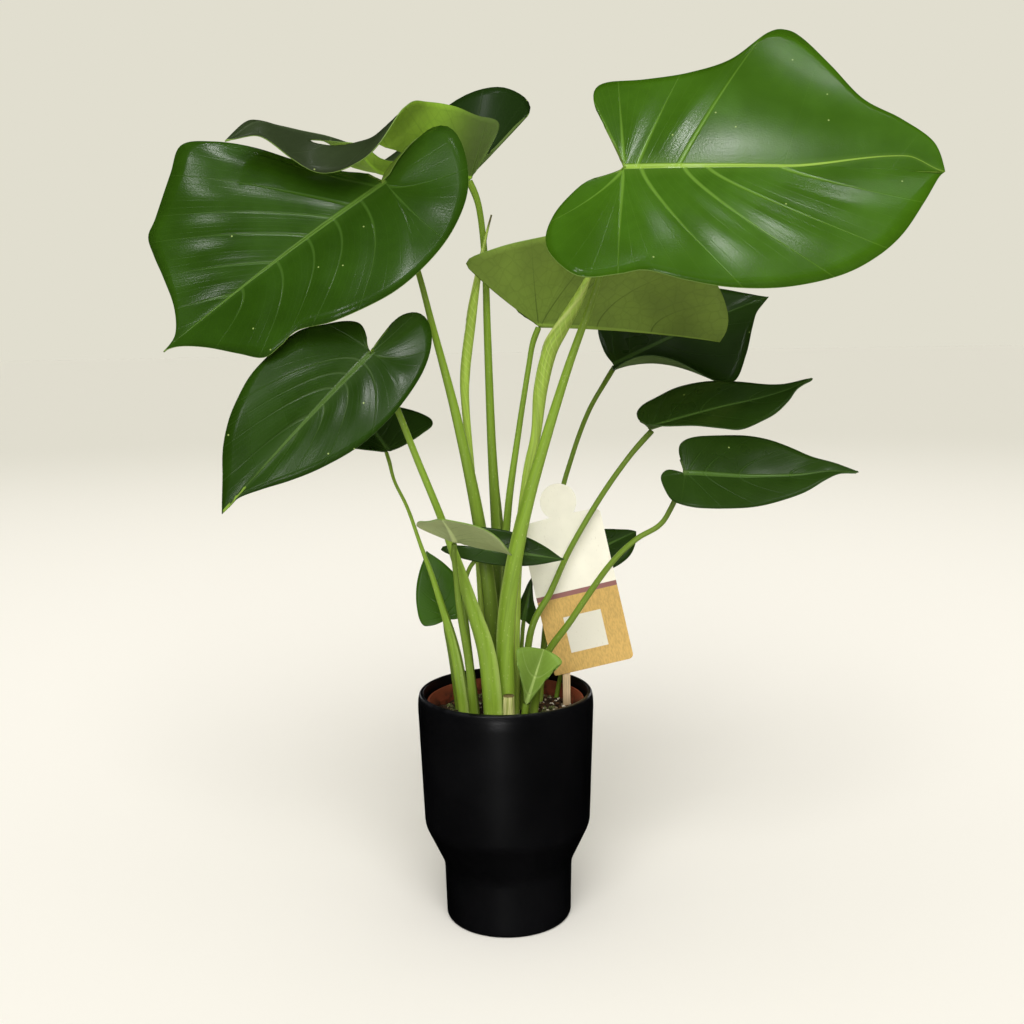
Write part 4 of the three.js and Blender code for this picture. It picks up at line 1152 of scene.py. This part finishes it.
class PLANT_OT_stage(bpy.types.Operator):
    """Sets the camera, the pale floor, the sky and the soft lights"""

    bl_idname = "plant.stage"
    bl_label = "Stage"

    def execute(self, context):
        settings = context.scene.plant_stage
        self.camera(context, settings)
        self.floor(settings)
        self.lights(context, settings)
        self.sky(context, settings)
        context.scene.view_settings.view_transform = "Standard"
        return {"FINISHED"}

    def camera(self, context, settings):
        data = bpy.data.cameras.new("camera")
        data.lens = settings.lens
        data.sensor_width = 36
        camera = bpy.data.objects.new("camera", data)
        tilt = Matrix.Rotation(math.radians(CAMERA_TILT), 4, "X")
        roll = Matrix.Rotation(math.radians(CAMERA_ROLL), 4, "Z")
        place = (CAMERA_ASIDE * MM, -settings.camera_distance, settings.camera_height)
        camera.matrix_world = Matrix.Translation(place) @ tilt @ roll
        context.scene.collection.objects.link(camera)
        context.scene.camera = camera

    def floor(self, settings):
        """A matt floor, painted lightest round the pot as a pool of painted light that also cancels
        the plant's shade, that takes the wall's colour far away.
        """
        finish = Finish("pale_floor", 0.0)
        finish.shader.inputs["Roughness"].default_value = 1.0
        place = finish.place()[0]
        away = finish.node("VectorMath", {0: place}, operation="LENGTH").outputs["Value"]
        # painted light: the floor's paint is lightest round the pot and dims to the wall's colour far
        # away
        material = finish.done(finish.shades(away, settings.floor, floor_paint(settings.wall),
                                             FLOOR_LIGHT_TO, FLOOR_DIM_FROM))
        rim = [
            (FLOOR_RADIUS * math.cos(a), FLOOR_RADIUS * math.sin(a), 0)
            for a in np.linspace(0, 2 * np.pi, 96, endpoint=False)
        ]
        floor = mesh_object("floor", rim, [list(range(96))], [material], smooth=False)
        floor.visible_glossy = False
        floor.visible_shadow = False
        floor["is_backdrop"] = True

    def lights(self, context, settings):
        """The wide lights are soft and light everything, and the narrow ones show as gloss alone.
        The floor casts no shadow, so the low one stands in for the light that it sends up."""
        for name, azimuth, elevation, spread, share, gloss in LIGHTS:
            data = bpy.data.lights.new(name, "SUN")
            data.energy = settings.key_power * share
            data.angle = math.radians(spread)
            light = bpy.data.objects.new(name, data)
            light.visible_glossy = gloss
            light.visible_diffuse = not gloss
            turn, lift = math.radians(azimuth), math.radians(elevation)
            towards = Vector((math.cos(lift) * math.cos(turn), math.cos(lift) * math.sin(turn),
                              math.sin(lift)))
            light.rotation_euler = towards.to_track_quat("Z", "Y").to_euler()
            light.location = towards * 2
            context.scene.collection.objects.link(light)

    def sky(self, context, settings):
        """The far wall that the camera sees, and its dimmer light on the plant."""
        world = bpy.data.worlds.new("pale_room")
        world.use_nodes = True
        nodes, links = world.node_tree.nodes, world.node_tree.links
        seen = nodes["Background"]
        felt = nodes.new("ShaderNodeBackground")
        felt.inputs["Strength"].default_value = settings.room_light
        for background in (seen, felt):
            background.inputs["Color"].default_value = (*settings.wall, 1)
        choice = nodes.new("ShaderNodeMixShader")
        links.new(nodes.new("ShaderNodeLightPath").outputs["Is Camera Ray"], choice.inputs[0])
        links.new(felt.outputs[0], choice.inputs[1])
        links.new(seen.outputs[0], choice.inputs[2])
        links.new(choice.outputs[0], nodes["World Output"].inputs["Surface"])
        world.cycles_visibility.glossy = False
        context.scene.world = world


def lathe(name, profile, sides, material):
    """A turned piece from an axis-to-axis profile of (radius, z) in metres."""
    points = []
    rings = []
    for radius, z in profile:
        count = 1 if radius < 1e-7 else sides
        rings.append(range(len(points), len(points) + count))
        for k in range(count):
            a = 2 * math.pi * k / sides
            points.append((radius * math.cos(a), radius * math.sin(a), z))
    faces = []
    for low, high in zip(rings, rings[1:]):
        for k in range(sides):
            n = (k + 1) % sides
            corner = [low[k % len(low)], low[n % len(low)], high[n % len(high)],
                      high[k % len(high)]]
            faces.append(list(dict.fromkeys(corner)))
    return mesh_object(name, points, faces, [material])


def rounded(corners, radii, segments):
    """A profile with arcs in place of its inner corners, each of the radius given for it."""
    out = [corners[0]]
    for before, here, after, radius in zip(corners, corners[1:], corners[2:], radii):
        corner = Vector(here)
        a, b = Vector(before) - corner, Vector(after) - corner
        half = a.angle(b) / 2
        reach = min(radius / math.tan(half), a.length * 0.48, b.length * 0.48)
        true_radius = reach * math.tan(half)
        start, end = corner + a.normalized() * reach, corner + b.normalized() * reach
        inward = (a.normalized() + b.normalized()).normalized()
        middle = corner + inward * (true_radius / math.sin(half))
        for s in range(segments + 1):
            spoke = (start - middle).lerp(end - middle, s / segments)
            out.append(tuple(middle + spoke.normalized() * true_radius))
    out.append(corners[-1])
    return out


def dense(profile, pitch):
    """The same profile with extra points, so that no step is longer than pitch."""
    out = [profile[0]]
    for a, b in zip(profile, profile[1:]):
        count = max(int(math.ceil(math.dist(a, b) / pitch)), 1)
        for s in range(1, count + 1):
            out.append((a[0] + (b[0] - a[0]) * s / count, a[1] + (b[1] - a[1]) * s / count))
    return out


def turned_pot(name, corners, radii, material, segments, pitch, sides):
    """A pot from the corners of its half section in millimetres and their rounding."""
    profile = [(r * MM, z * MM) for r, z in rounded(corners, radii, segments)]
    return lathe(name, dense(profile, pitch * MM), sides, material)


class PLANT_OT_outer_pot(bpy.types.Operator):
    """Builds the stepped black pot with rounded edges and its satin glaze"""

    bl_idname = "plant.outer_pot"
    bl_label = "Outer pot"

    def execute(self, context):
        settings = context.scene.plant_pot
        rim, top = settings.rim_radius / MM, settings.height / MM
        inside = rim - POT_WALL
        corners = [
            (0, 0.4), (42, 0.4), (44, 0), (50.4, 0), (51.5, 46), (66.5, 78), (rim, 174),
            (rim - 0.3, 180), (rim - 1.2, top - 1.3), (rim - 2.4, top), (inside, top),
            (inside, 182), (61.6, 80), (46.9, 48), (46.5, 6), (0, 6),
        ]
        radii = [0.3, 1, 5, 26, 22, 60, 20, 6, 2, 0.8, 8, 18, 18, 6]
        pot = turned_pot("stepped_black_pot", corners, radii, self.finish(settings), **POT_GRID)
        dress(pot, "black_pot", "outer_pot")
        return {"FINISHED"}

    def finish(self, settings):
        """Black satin glaze: faint cloudiness, fine pores, dust and rub marks on the rim."""
        finish = Finish("black_satin_glaze")
        place, height = finish.place()
        cloud = finish.noise(place, 14.0, 4.0)
        pores = finish.noise(place, 900.0)
        top = settings.height
        rub = finish.times(finish.fade(height, top - 3.5 * MM, top, 0.0, 1.0),
                           finish.fade(finish.noise(place, 60.0, 4.0), 0.45, 0.7, 0.0, 0.35))
        dust = finish.fade(finish.noise(place, 380.0, 2.0), 0.68, 0.78, 0.0, 0.1)
        base = finish.over(finish.mottled(cloud, settings.glaze, 0.75, 1.3),
                           (rub, tint(52, 52, 56)), (dust, tint(70, 68, 66)))
        finish.roughness(cloud, 0.33, 0.38, 0.25, 0.75)
        return finish.done(base, finish.total((pores, 1.0), (cloud, 2.0)), 0.12 * MM, 0.35)


class PLANT_OT_nursery_pot(bpy.types.Operator):
    """Builds the thin brown nursery pot with its rolled rim"""

    bl_idname = "plant.nursery_pot"
    bl_label = "Nursery pot"

    def execute(self, context):
        settings = context.scene.plant_pot
        rim = settings.nursery_radius / MM
        top = NURSERY_HIGH.z / MM
        low = NURSERY_LOW.z / MM
        inside, neck = rim - NURSERY_WALL, rim - NURSERY_LIP
        corners = [
            (0, low), (NURSERY_FOOT, low), (neck, top - 9), (rim, top - 8.4), (rim, top),
            (inside, top), (neck - NURSERY_WALL, top - 9), (NURSERY_FOOT - NURSERY_WALL, low + 2),
            (0, low + 2),
        ]
        radii = [2, 1, 0.8, 0.7, 0.7, 1, 1.5]
        pot = turned_pot("nursery_pot_shell", corners, radii, self.finish(settings),
                         **NURSERY_GRID)
        dress(pot, "terracotta_plastic", "nursery_pot")
        return {"FINISHED"}

    def finish(self, settings):
        """Brown plastic: faint rings from the mould and soil dust low down."""
        finish = Finish("brown_nursery_plastic", 0.45)
        place, height = finish.place()
        cloud = finish.noise(place, 30.0, 4.0)
        stain = finish.times(finish.fade(height, 0.168, 0.178, 1.0, 0.1),
                             finish.fade(finish.noise(place, 120.0, 5.0), 0.42, 0.62, 0.0, 0.85))
        base = finish.over(finish.mottled(cloud, settings.plastic, 0.8, 1.15),
                           (stain, tint(44, 32, 24)))
        finish.roughness(cloud, 0.5, 0.72)
        rings = finish.math("SINE", finish.times(height, 3600.0))
        return finish.done(base, finish.total((rings, 0.25), (cloud, 1.0)), 0.15 * MM, 0.5)


def ring(sides, radius, height, shift=0.0):
    """Places round the pot's axis in millimetres. height is a function of the place."""
    for k in range(sides):
        a = 2 * math.pi * (k + shift) / sides
        x, y = radius * math.cos(a), radius * math.sin(a)
        yield x, y, height(x, y)


def crumb_finish(name, tones, grain_scale, detail, rough, pits=None, sharp=False):
    """Crumbs that lie on the soil: two tones over them and, where pits gives their scale, detail,
    depth and strength, a pitted surface, whose noise sets the roughness too if it is sharp."""
    finish = Finish(name, 0.3)
    place = finish.place()[0]
    grain = finish.noise(place, grain_scale, detail)
    edge = 0.35 if pits else 0.3
    base = finish.shades(grain, *(tint(*tone) for tone in tones), edge, 1 - edge)
    if not pits:
        finish.roughness(grain, *rough)
        return finish.done(base)
    scale, pit_detail, depth, strength = pits
    surface = finish.noise(place, scale, pit_detail)
    finish.roughness(surface if sharp else grain, *rough)
    return finish.done(base, surface, depth * MM, strength)


class PLANT_OT_soil(bpy.types.Operator):
    """Builds the crumbly soil with its grit, bark chips and moss"""

    bl_idname = "plant.soil"
    bl_label = "Soil"

    def execute(self, context):
        settings = context.scene.plant_soil
        draw = random.Random(settings.seed)
        grit = crumb_finish("pale_grit", ((120, 106, 84), (206, 198, 178)), 210.0, 2.0,
                            (0.7, 0.95), (2600.0, 2.0, 0.12, 0.6), sharp=True)
        chips = crumb_finish("bark_chips", ((34, 24, 17), (98, 68, 44)), 260.0, 3.0,
                             (0.75, 0.95), (1800.0, 3.0, 0.2, 0.7))
        green = crumb_finish("moss_green", ((72, 84, 44), (150, 156, 98)), 320.0, 3.0, (0.6, 0.85))
        self.bed()
        self.scatter("soil_grit", settings.grains, draw, (0.5, 1.7), grit, 0.7)
        self.scatter("soil_chips", settings.chips, draw, (0.8, 3.0), chips, 0.4)
        self.moss(settings.tufts, draw, green)
        return {"FINISHED"}

    def height(self, x, y):
        """The height of the soil's surface, in millimetres."""
        away = math.hypot(x, y) / SOIL_RADIUS
        lump = 1.6 * math.sin(0.17 * x + 1) * math.cos(0.21 * y) + 1.2 * (1 - away)
        place = Vector((x, y, 3.1))
        crumb = 1.5 * noise.noise(place * 0.16) + 1.1 * noise.noise(place * 0.45)
        crumb += 0.7 * noise.noise(place * 1.1)
        return SOIL_TOP_Z + lump + crumb * (1 - 0.5 * away**4) + 0.6

    def bed(self):
        low = SOIL_LOW.z / MM
        rings, sides = 64, 200
        points = [(0, 0, self.height(0, 0))]
        for i in range(1, rings + 1):
            points += ring(sides, SOIL_RADIUS * i / rings, self.height, 0.5 * (i % 2))
        points += ring(sides, SOIL_RADIUS - 0.2, lambda x, y: SOIL_TOP_Z - 4)
        points += ring(sides, SOIL_FOOT_RADIUS, lambda x, y: low)
        points.append((0, 0, low))
        last = 1 + (rings + 1) * sides
        faces = []
        for k in range(sides):
            n = (k + 1) % sides
            faces.append([0, 1 + k, 1 + n])
            faces.append([last + n, last + k, len(points) - 1])
            for first in range(1, last, sides):
                faces.append([first + k, first + sides + k, first + sides + n, first + n])
        bed = mesh_object("soil_bed", [(x * MM, y * MM, z * MM) for x, y, z in points], faces,
                          [self.finish()])
        dress(bed, "potting_soil", "soil")

    def free_place(self, draw, margin):
        """A random place on the soil that is clear of the stalks."""
        feet = [leaf["stalk"][0] for leaf in LEAVES]
        feet += [course[0] for course in ROLLED_LEAVES.values()] + [CUT_STALK[0]]
        while True:
            r = (SOIL_RADIUS - 2) * math.sqrt(draw.random())
            a = 2 * math.pi * draw.random()
            x, y = r * math.cos(a), r * math.sin(a)
            if all(math.hypot(x - f[0], y - f[1]) > f[3] + margin for f in feet):
                return x, y

    def scatter(self, name, count, draw, sizes, material, flatness):
        """Many small uneven lumps that lie on the soil, in one piece."""
        lumps = bmesh.new()
        for _ in range(count):
            x, y = self.free_place(draw, 0.8)
            size = draw.uniform(*sizes)
            made = bmesh.ops.create_icosphere(lumps, subdivisions=2, radius=size)["verts"]
            turn = Matrix.Rotation(draw.uniform(0, 6.28), 3, "Z")
            turn = turn @ Matrix.Rotation(draw.uniform(-0.5, 0.5), 3, "X")
            shape = Vector((1, draw.uniform(0.5, 0.9), flatness * draw.uniform(0.6, 1.1)))
            shift = Vector((draw.random(), draw.random(), draw.random())) * 50
            centre = Vector((x, y, self.height(x, y) + size * flatness * 0.35))
            for v in made:
                push = 1 + 0.35 * noise.noise(v.co / size * 1.3 + shift)
                v.co = (turn @ (v.co * shape * push) + centre) * MM
        data = mesh_data(name, lumps)
        data.polygons.foreach_set("use_smooth", [True] * len(data.polygons))
        dress(placed(data, material), "potting_soil")

    def moss(self, count, draw, material):
        """Tufts of short pointed moss leaves, in one piece."""
        points = []
        faces = []
        for _ in range(count):
            x, y = self.free_place(draw, 1.2)
            spread = draw.uniform(1.6, 4.2)
            for _ in range(int(26 * spread)):
                r = spread * math.sqrt(draw.random())
                a = 2 * math.pi * draw.random()
                px, py = x + r * math.cos(a), y + r * math.sin(a)
                if math.hypot(px, py) > SOIL_RADIUS - 1:
                    continue
                foot = Vector((px, py, self.height(px, py) - 0.3))
                height = draw.uniform(1.2, 3.0) * (1.1 - r / spread * 0.6)
                lean = Vector((draw.uniform(-0.5, 0.5), draw.uniform(-0.5, 0.5), 1)) * height
                across = Vector((math.cos(a * 3), math.sin(a * 3), 0)) * 0.22
                deep = Vector((-across.y, across.x, 0)) * 0.6
                middle = foot + lean * 0.5
                first = len(points)
                points += [p * MM for p in (
                    foot - across * 0.7, foot + across * 0.7, middle + across, middle - across,
                    middle + deep, foot + lean)]
                faces += [[first + v for v in face] for face in MOSS_LEAF_FACES]
        dress(mesh_object("soil_moss", points, faces, [material]), "potting_soil")

    def finish(self):
        """Dark peat with lighter fibres."""
        finish = Finish("dark_potting_soil", 0.25)
        place = finish.place()[0]
        lumps = finish.noise(place, 130.0, 5.0, 0.65)
        fibres = finish.noise(finish.stretched(place, 1.0, 0.3, 1.0), 900.0)
        base = finish.over(finish.shades(lumps, tint(24, 18, 13), tint(66, 50, 36)),
                           (finish.fade(fibres, 0.6, 0.72, 0.0, 0.5), tint(112, 88, 60)))
        finish.roughness(lumps, 0.8, 0.98)
        return finish.done(base, finish.total((lumps, 1.0), (fibres, 0.4)), 0.8 * MM)


class PLANT_OT_leaves(bpy.types.Operator):
    """Builds the fine leaf blades with their veins, quilting and pale margins"""

    bl_idname = "plant.leaves"
    bl_label = "Leaf blades"

    def execute(self, context):
        settings = context.scene.plant_leaves
        looks = self.looks(settings)
        for leaf in LEAVES:
            made = blade_mesh(leaf, settings)
            piece = mesh_object("blade_" + leaf["name"], made["points"], made["faces"],
                                looks[leaf["look"]], made["slots"])
            add_vectors(piece.data, "vein_flow", made["corners"], "CORNER")
            add_vectors(piece.data, "blade_flat", made["flat"], "POINT")
            slot = "leaf_dark" if leaf["look"] in DARK_LOOKS else "leaf_bright"
            dress(piece, slot, "leaf_" + leaf["name"])
        return {"FINISHED"}

    def looks(self, settings):
        """Upper face, underside and margin for each look."""
        bright, mid, under = settings.bright, settings.mid, settings.under
        dim_vein = tint(78, 112, 42)
        pale_vein, young_vein = tint(136, 154, 112), tint(168, 190, 110)
        arched_vein = tint(84, 100, 66)
        common_under = (under, scaled(under, 0.5))
        tops = {
            "bright": (bright, settings.vein, tint(142, 176, 66), 0.6, 0.18, 2.1, RIB_RISE),
            "mid": (mid, dim_vein, tint(88, 122, 44), 0.4, 0.19, 1.8),
            "deep": (scaled(mid, 0.74), tint(84, 108, 62), tint(76, 104, 44), 0.3, 0.22, 1.6),
            # The arched leaf's grey-green top colour is a painted sheen, the glancing reflection on
            # its top face; near its stalk it keeps its own dark green
            "arched": (tint(48, 60, 34), arched_vein, arched_vein, 0.3, 0.34, 1.4, 0.0,
                       tint(28, 48, 12)),
            "centre": (mid, dim_vein, dim_vein, 0.3),
            "fresh": (bright, dim_vein, dim_vein, 0.3, 0.3, 1.2),
            "dark": (settings.dark, tint(60, 88, 34), tint(74, 104, 42), 0.25, 0.26, 1.2),
            "grey": (tint(112, 130, 90), pale_vein, pale_vein, 0.3, 0.4, 1.2),
            "young": (tint(112, 142, 52), young_vein, young_vein, 0.3, 0.36),
        }
        unders = {
            "arched": (tint(130, 168, 46), tint(84, 116, 34), tint(84, 104, 48)),
            "centre": (tint(114, 138, 52), tint(66, 88, 26)),
            "dark": (tint(76, 98, 46), tint(48, 66, 30)),
            "grey": (tint(158, 170, 118), tint(116, 134, 84)),
            "young": (tint(104, 140, 56), tint(78, 110, 40)),
        }
        pale_rim = margin_finish("pale_margin", tint(120, 150, 66))
        dull_rim = margin_finish("dull_margin", tint(62, 88, 42))
        return {
            look: [blade_top_finish(look + "_blade", *top),
                   blade_under_finish(look + "_underside", *unders.get(look, common_under)),
                   dull_rim if look in DULL_RIMS else pale_rim]
            for look, top in tops.items()
        }


class PLANT_OT_stalks(bpy.types.Operator):
    """Builds the leaf stalks with their sheaths, the rolled leaves and the cut stalk"""

    bl_idname = "plant.stalks"
    bl_label = "Stalks and rolled leaves"

    def execute(self, context):
        settings = context.scene.plant_leaves
        colour = list(settings.stalk)
        edge = tint(176, 196, 108)
        bright = stalk_finish("stalk_skin", colour, edge)
        # The inner stalks get painted shade low down, where the leaves above would shadow them
        inner = stalk_finish("inner_stalk_painted_shade_skin", colour, edge, 0.2, 0.8)
        dull = stalk_finish("slim_stalk_skin", scaled(colour, 0.68), scaled(edge, 0.7), 0.2)
        for leaf in LEAVES:
            name = leaf["name"]
            thick = leaf["stalk"][0][3] >= THICK_STALK
            skin = inner if name in INNER_STALKS else bright if thick else dull
            steps, sides = THICK_GRID if thick else SLIM_GRID
            piece = tube_object(name + "_stalk", stalk_course(leaf), steps, sides,
                                stalk_section(SHEATHS.get(name)), skin)
            dress(piece, "leaf_stalk", "stalk_" + name)
        for name, course in ROLLED_LEAVES.items():
            dry = DRY_TIPS.get(name, 0.0)
            skin = rolled_finish(name + "_skin", settings.rolled, dry)
            piece = tube_object(name + "_spear", from_the_foot(course), *SPEAR_GRID,
                                rolled_section, skin)
            dress(piece, "rolled_leaf", name)
        self.cut_stalk()
        return {"FINISHED"}

    def cut_stalk(self):
        """The short stub: pale, with a brown cut on top and papery ribs."""
        course = from_the_foot(CUT_STALK[:1] + CUT_STALK)
        finish = Finish("cut_stub", 0.4)
        around, _, _, share = finish.attribute("stalk_flow")
        streaks = finish.noise(finish.stretched(around, 800.0, 40.0, 0.0), 1.0)
        base = finish.over(finish.shades(streaks, tint(150, 160, 78), tint(222, 220, 150)),
                           (finish.fade(share, 0.9, 0.99, 0.0, 0.9), tint(84, 62, 34)))
        finish.roughness(streaks, 0.5, 0.7)
        skin = finish.done(base, streaks, 0.3 * MM)
        piece = tube_object("cut_stalk_stub", course, *STUB_GRID, cut_section, skin)
        dress(piece, "cut_stalk", "stalk_cut")


class PLANT_OT_label(bpy.types.Operator):
    """Builds the bare paper label card and the wooden stick behind it"""

    bl_idname = "plant.label"
    bl_label = "Label card and stick"

    def execute(self, context):
        settings = context.scene.plant_label
        self.card(settings)
        self.stick(settings)
        return {"FINISHED"}

    def outline(self, settings):
        """The card's outline in metres: upright, with a round tab on top."""
        half = settings.width / MM / 2
        shoulder = settings.shoulder / MM
        points = [(-half + 1, 0)]
        for s in range(9):
            a = math.pi / 2 * (s / 8 - 1)
            points.append((half - CARD_CORNER + CARD_CORNER * math.cos(a),
                           CARD_CORNER + CARD_CORNER * math.sin(a)))
        points += [(half, shoulder - CARD_NICK), (half - CARD_NICK, shoulder)]
        for s in range(33):
            a = math.radians(-50 + 280 * s / 32)
            points.append((TAB_MIDDLE[0] + TAB_RADIUS * math.cos(a),
                           TAB_MIDDLE[1] + TAB_RADIUS * math.sin(a)))
        points += [(-half + CARD_NICK, shoulder), (-half, shoulder - CARD_NICK), (-half, 1)]
        return [(u * MM, v * MM) for u, v in points]

    def card(self, settings):
        sheet = bmesh.new()
        thickness = CARD_THICKNESS * MM
        flat = [sheet.verts.new((u, 0, v)) for u, v in self.outline(settings)]
        made = bmesh.ops.extrude_face_region(sheet, geom=[sheet.faces.new(flat)])["geom"]
        back = [v for v in made if isinstance(v, bmesh.types.BMVert)]
        for verts, y in ((flat, -thickness / 2), (back, thickness / 2)):
            for v in verts:
                v.co.y = y
        bmesh.ops.recalc_face_normals(sheet, faces=sheet.faces)
        rims = [e for e in sheet.edges if len(e.link_faces) == 2
                and abs(e.verts[0].co.y - e.verts[1].co.y) < 1e-9]
        bmesh.ops.bevel(sheet, geom=rims, offset=CARD_EDGE * MM, segments=2, affect="EDGES")
        bmesh.ops.triangulate(sheet, faces=[f for f in sheet.faces if len(f.verts) > 4])
        data = mesh_data("paper_label_card", sheet)
        add_vectors(data, "sheet", [v.co[:] for v in data.vertices], "POINT")
        turn = Matrix.Rotation(-settings.lean, 4, "Y")
        data.transform(Matrix.Translation(Vector(CARD_FOOT) * MM) @ turn)
        dress(placed(data, self.card_finish(settings)), "printed_card", "label_card")

    def card_finish(self, settings):
        """Cream and brown paper with a plain band and a bare pale square."""
        finish = Finish("label_paper", 0.35)
        sheet, across, _, height = finish.attribute("sheet")
        fibres = finish.noise(finish.stretched(sheet, 1.0, 1.0, 0.35), 900.0, 4.0)
        cream = finish.mottled(finish.noise(sheet, 40.0), settings.cream, 0.92, 1.0)
        kraft = finish.mottled(fibres, settings.kraft, 0.86, 1.1)
        band_low, band_high = (self.below(finish, height, edge) for edge in CARD_BAND)
        off = finish.math("ABSOLUTE", finish.math("SUBTRACT", height, SQUARE_HEIGHT * MM))
        square = finish.times(self.below(finish, finish.math("ABSOLUTE", across), SQUARE_HALF),
                              self.below(finish, off, SQUARE_HALF - 0.4))
        base = finish.over(
            cream, (band_high, settings.band), (band_low, kraft), (square, tint(226, 222, 206)),
            (finish.fade(fibres, 0.64, 0.74, 0.0, 0.16), tint(150, 132, 100)))
        finish.roughness(fibres, 0.72, 0.9)
        return finish.done(base, fibres, 0.06 * MM, 0.6)

    def below(self, finish, value, edge):
        """1 where the value is below the edge in millimetres, with a thin soft line there."""
        return finish.fade(value, (edge - 0.15) * MM, (edge + 0.15) * MM)

    def stick(self, settings):
        stick = bmesh.new()
        bmesh.ops.create_cube(stick, size=1)
        for v in stick.verts:
            for axis in range(3):
                low, high = STICK_LOW[axis], STICK_HIGH[axis]
                v.co[axis] = low + (v.co[axis] + 0.5) * (high - low)
        bmesh.ops.bevel(stick, geom=stick.edges[:], offset=0.5 * MM, segments=3, affect="EDGES")
        data = mesh_data("wooden_label_stick", stick)
        dress(placed(data, self.wood_finish(settings)), "bare_wood", "label_stick")

    def wood_finish(self, settings):
        """Pale wood with fine grain, damp and darker just above the soil."""
        finish = Finish("bare_stick_wood", 0.3)
        place, height = finish.place()
        grain = finish.noise(finish.stretched(place, 1.0, 1.0, 0.045), 1500.0, 4.0)
        base = finish.over(finish.mottled(grain, settings.wood, 0.76, 1.08),
                           (finish.fade(height, 0.166, 0.182, 0.55, 0.0), tint(110, 78, 50)))
        finish.roughness(grain, 0.6, 0.8)
        return finish.done(base, grain, 0.2 * MM, 0.6)


class PLANT_PT_panel(bpy.types.Panel):
    """Lists the building steps and their settings"""

    bl_idname = "PLANT_PT_panel"
    bl_label = "Potted plant"
    bl_space_type = "VIEW_3D"
    bl_region_type = "UI"
    bl_category = "Plant"

    def draw(self, context):
        for group, steps in STEPS.items():
            box = self.layout.box()
            for step in steps:
                box.operator(step.bl_idname)
            settings = getattr(context.scene, group)
            for name in SETTINGS[group].__annotations__:
                box.prop(settings, name)


STEPS = {
    "plant_stage": [PLANT_OT_stage],
    "plant_pot": [PLANT_OT_outer_pot, PLANT_OT_nursery_pot],
    "plant_soil": [PLANT_OT_soil],
    "plant_leaves": [PLANT_OT_leaves, PLANT_OT_stalks],
    "plant_label": [PLANT_OT_label],
}


def register():
    for group, settings in SETTINGS.items():
        bpy.utils.register_class(settings)
        setattr(bpy.types.Scene, group, bpy.props.PointerProperty(type=settings))
    for steps in STEPS.values():
        for step in steps:
            bpy.utils.register_class(step)
    bpy.utils.register_class(PLANT_PT_panel)


def unregister():
    bpy.utils.unregister_class(PLANT_PT_panel)
    for steps in STEPS.values():
        for step in steps:
            bpy.utils.unregister_class(step)
    for group, settings in SETTINGS.items():
        delattr(bpy.types.Scene, group)
        bpy.utils.unregister_class(settings)


def main():
    register()
    bpy.ops.plant.stage()
    bpy.ops.plant.outer_pot()
    bpy.ops.plant.nursery_pot()
    bpy.ops.plant.soil()
    bpy.ops.plant.leaves()
    bpy.ops.plant.stalks()
    bpy.ops.plant.label()
    boxes = {"cad": CAD_BOX, "visual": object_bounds()}
    {name: [list(corner) for corner in box] for name, box in boxes.items()}


if __name__ == "__main__":
    main()
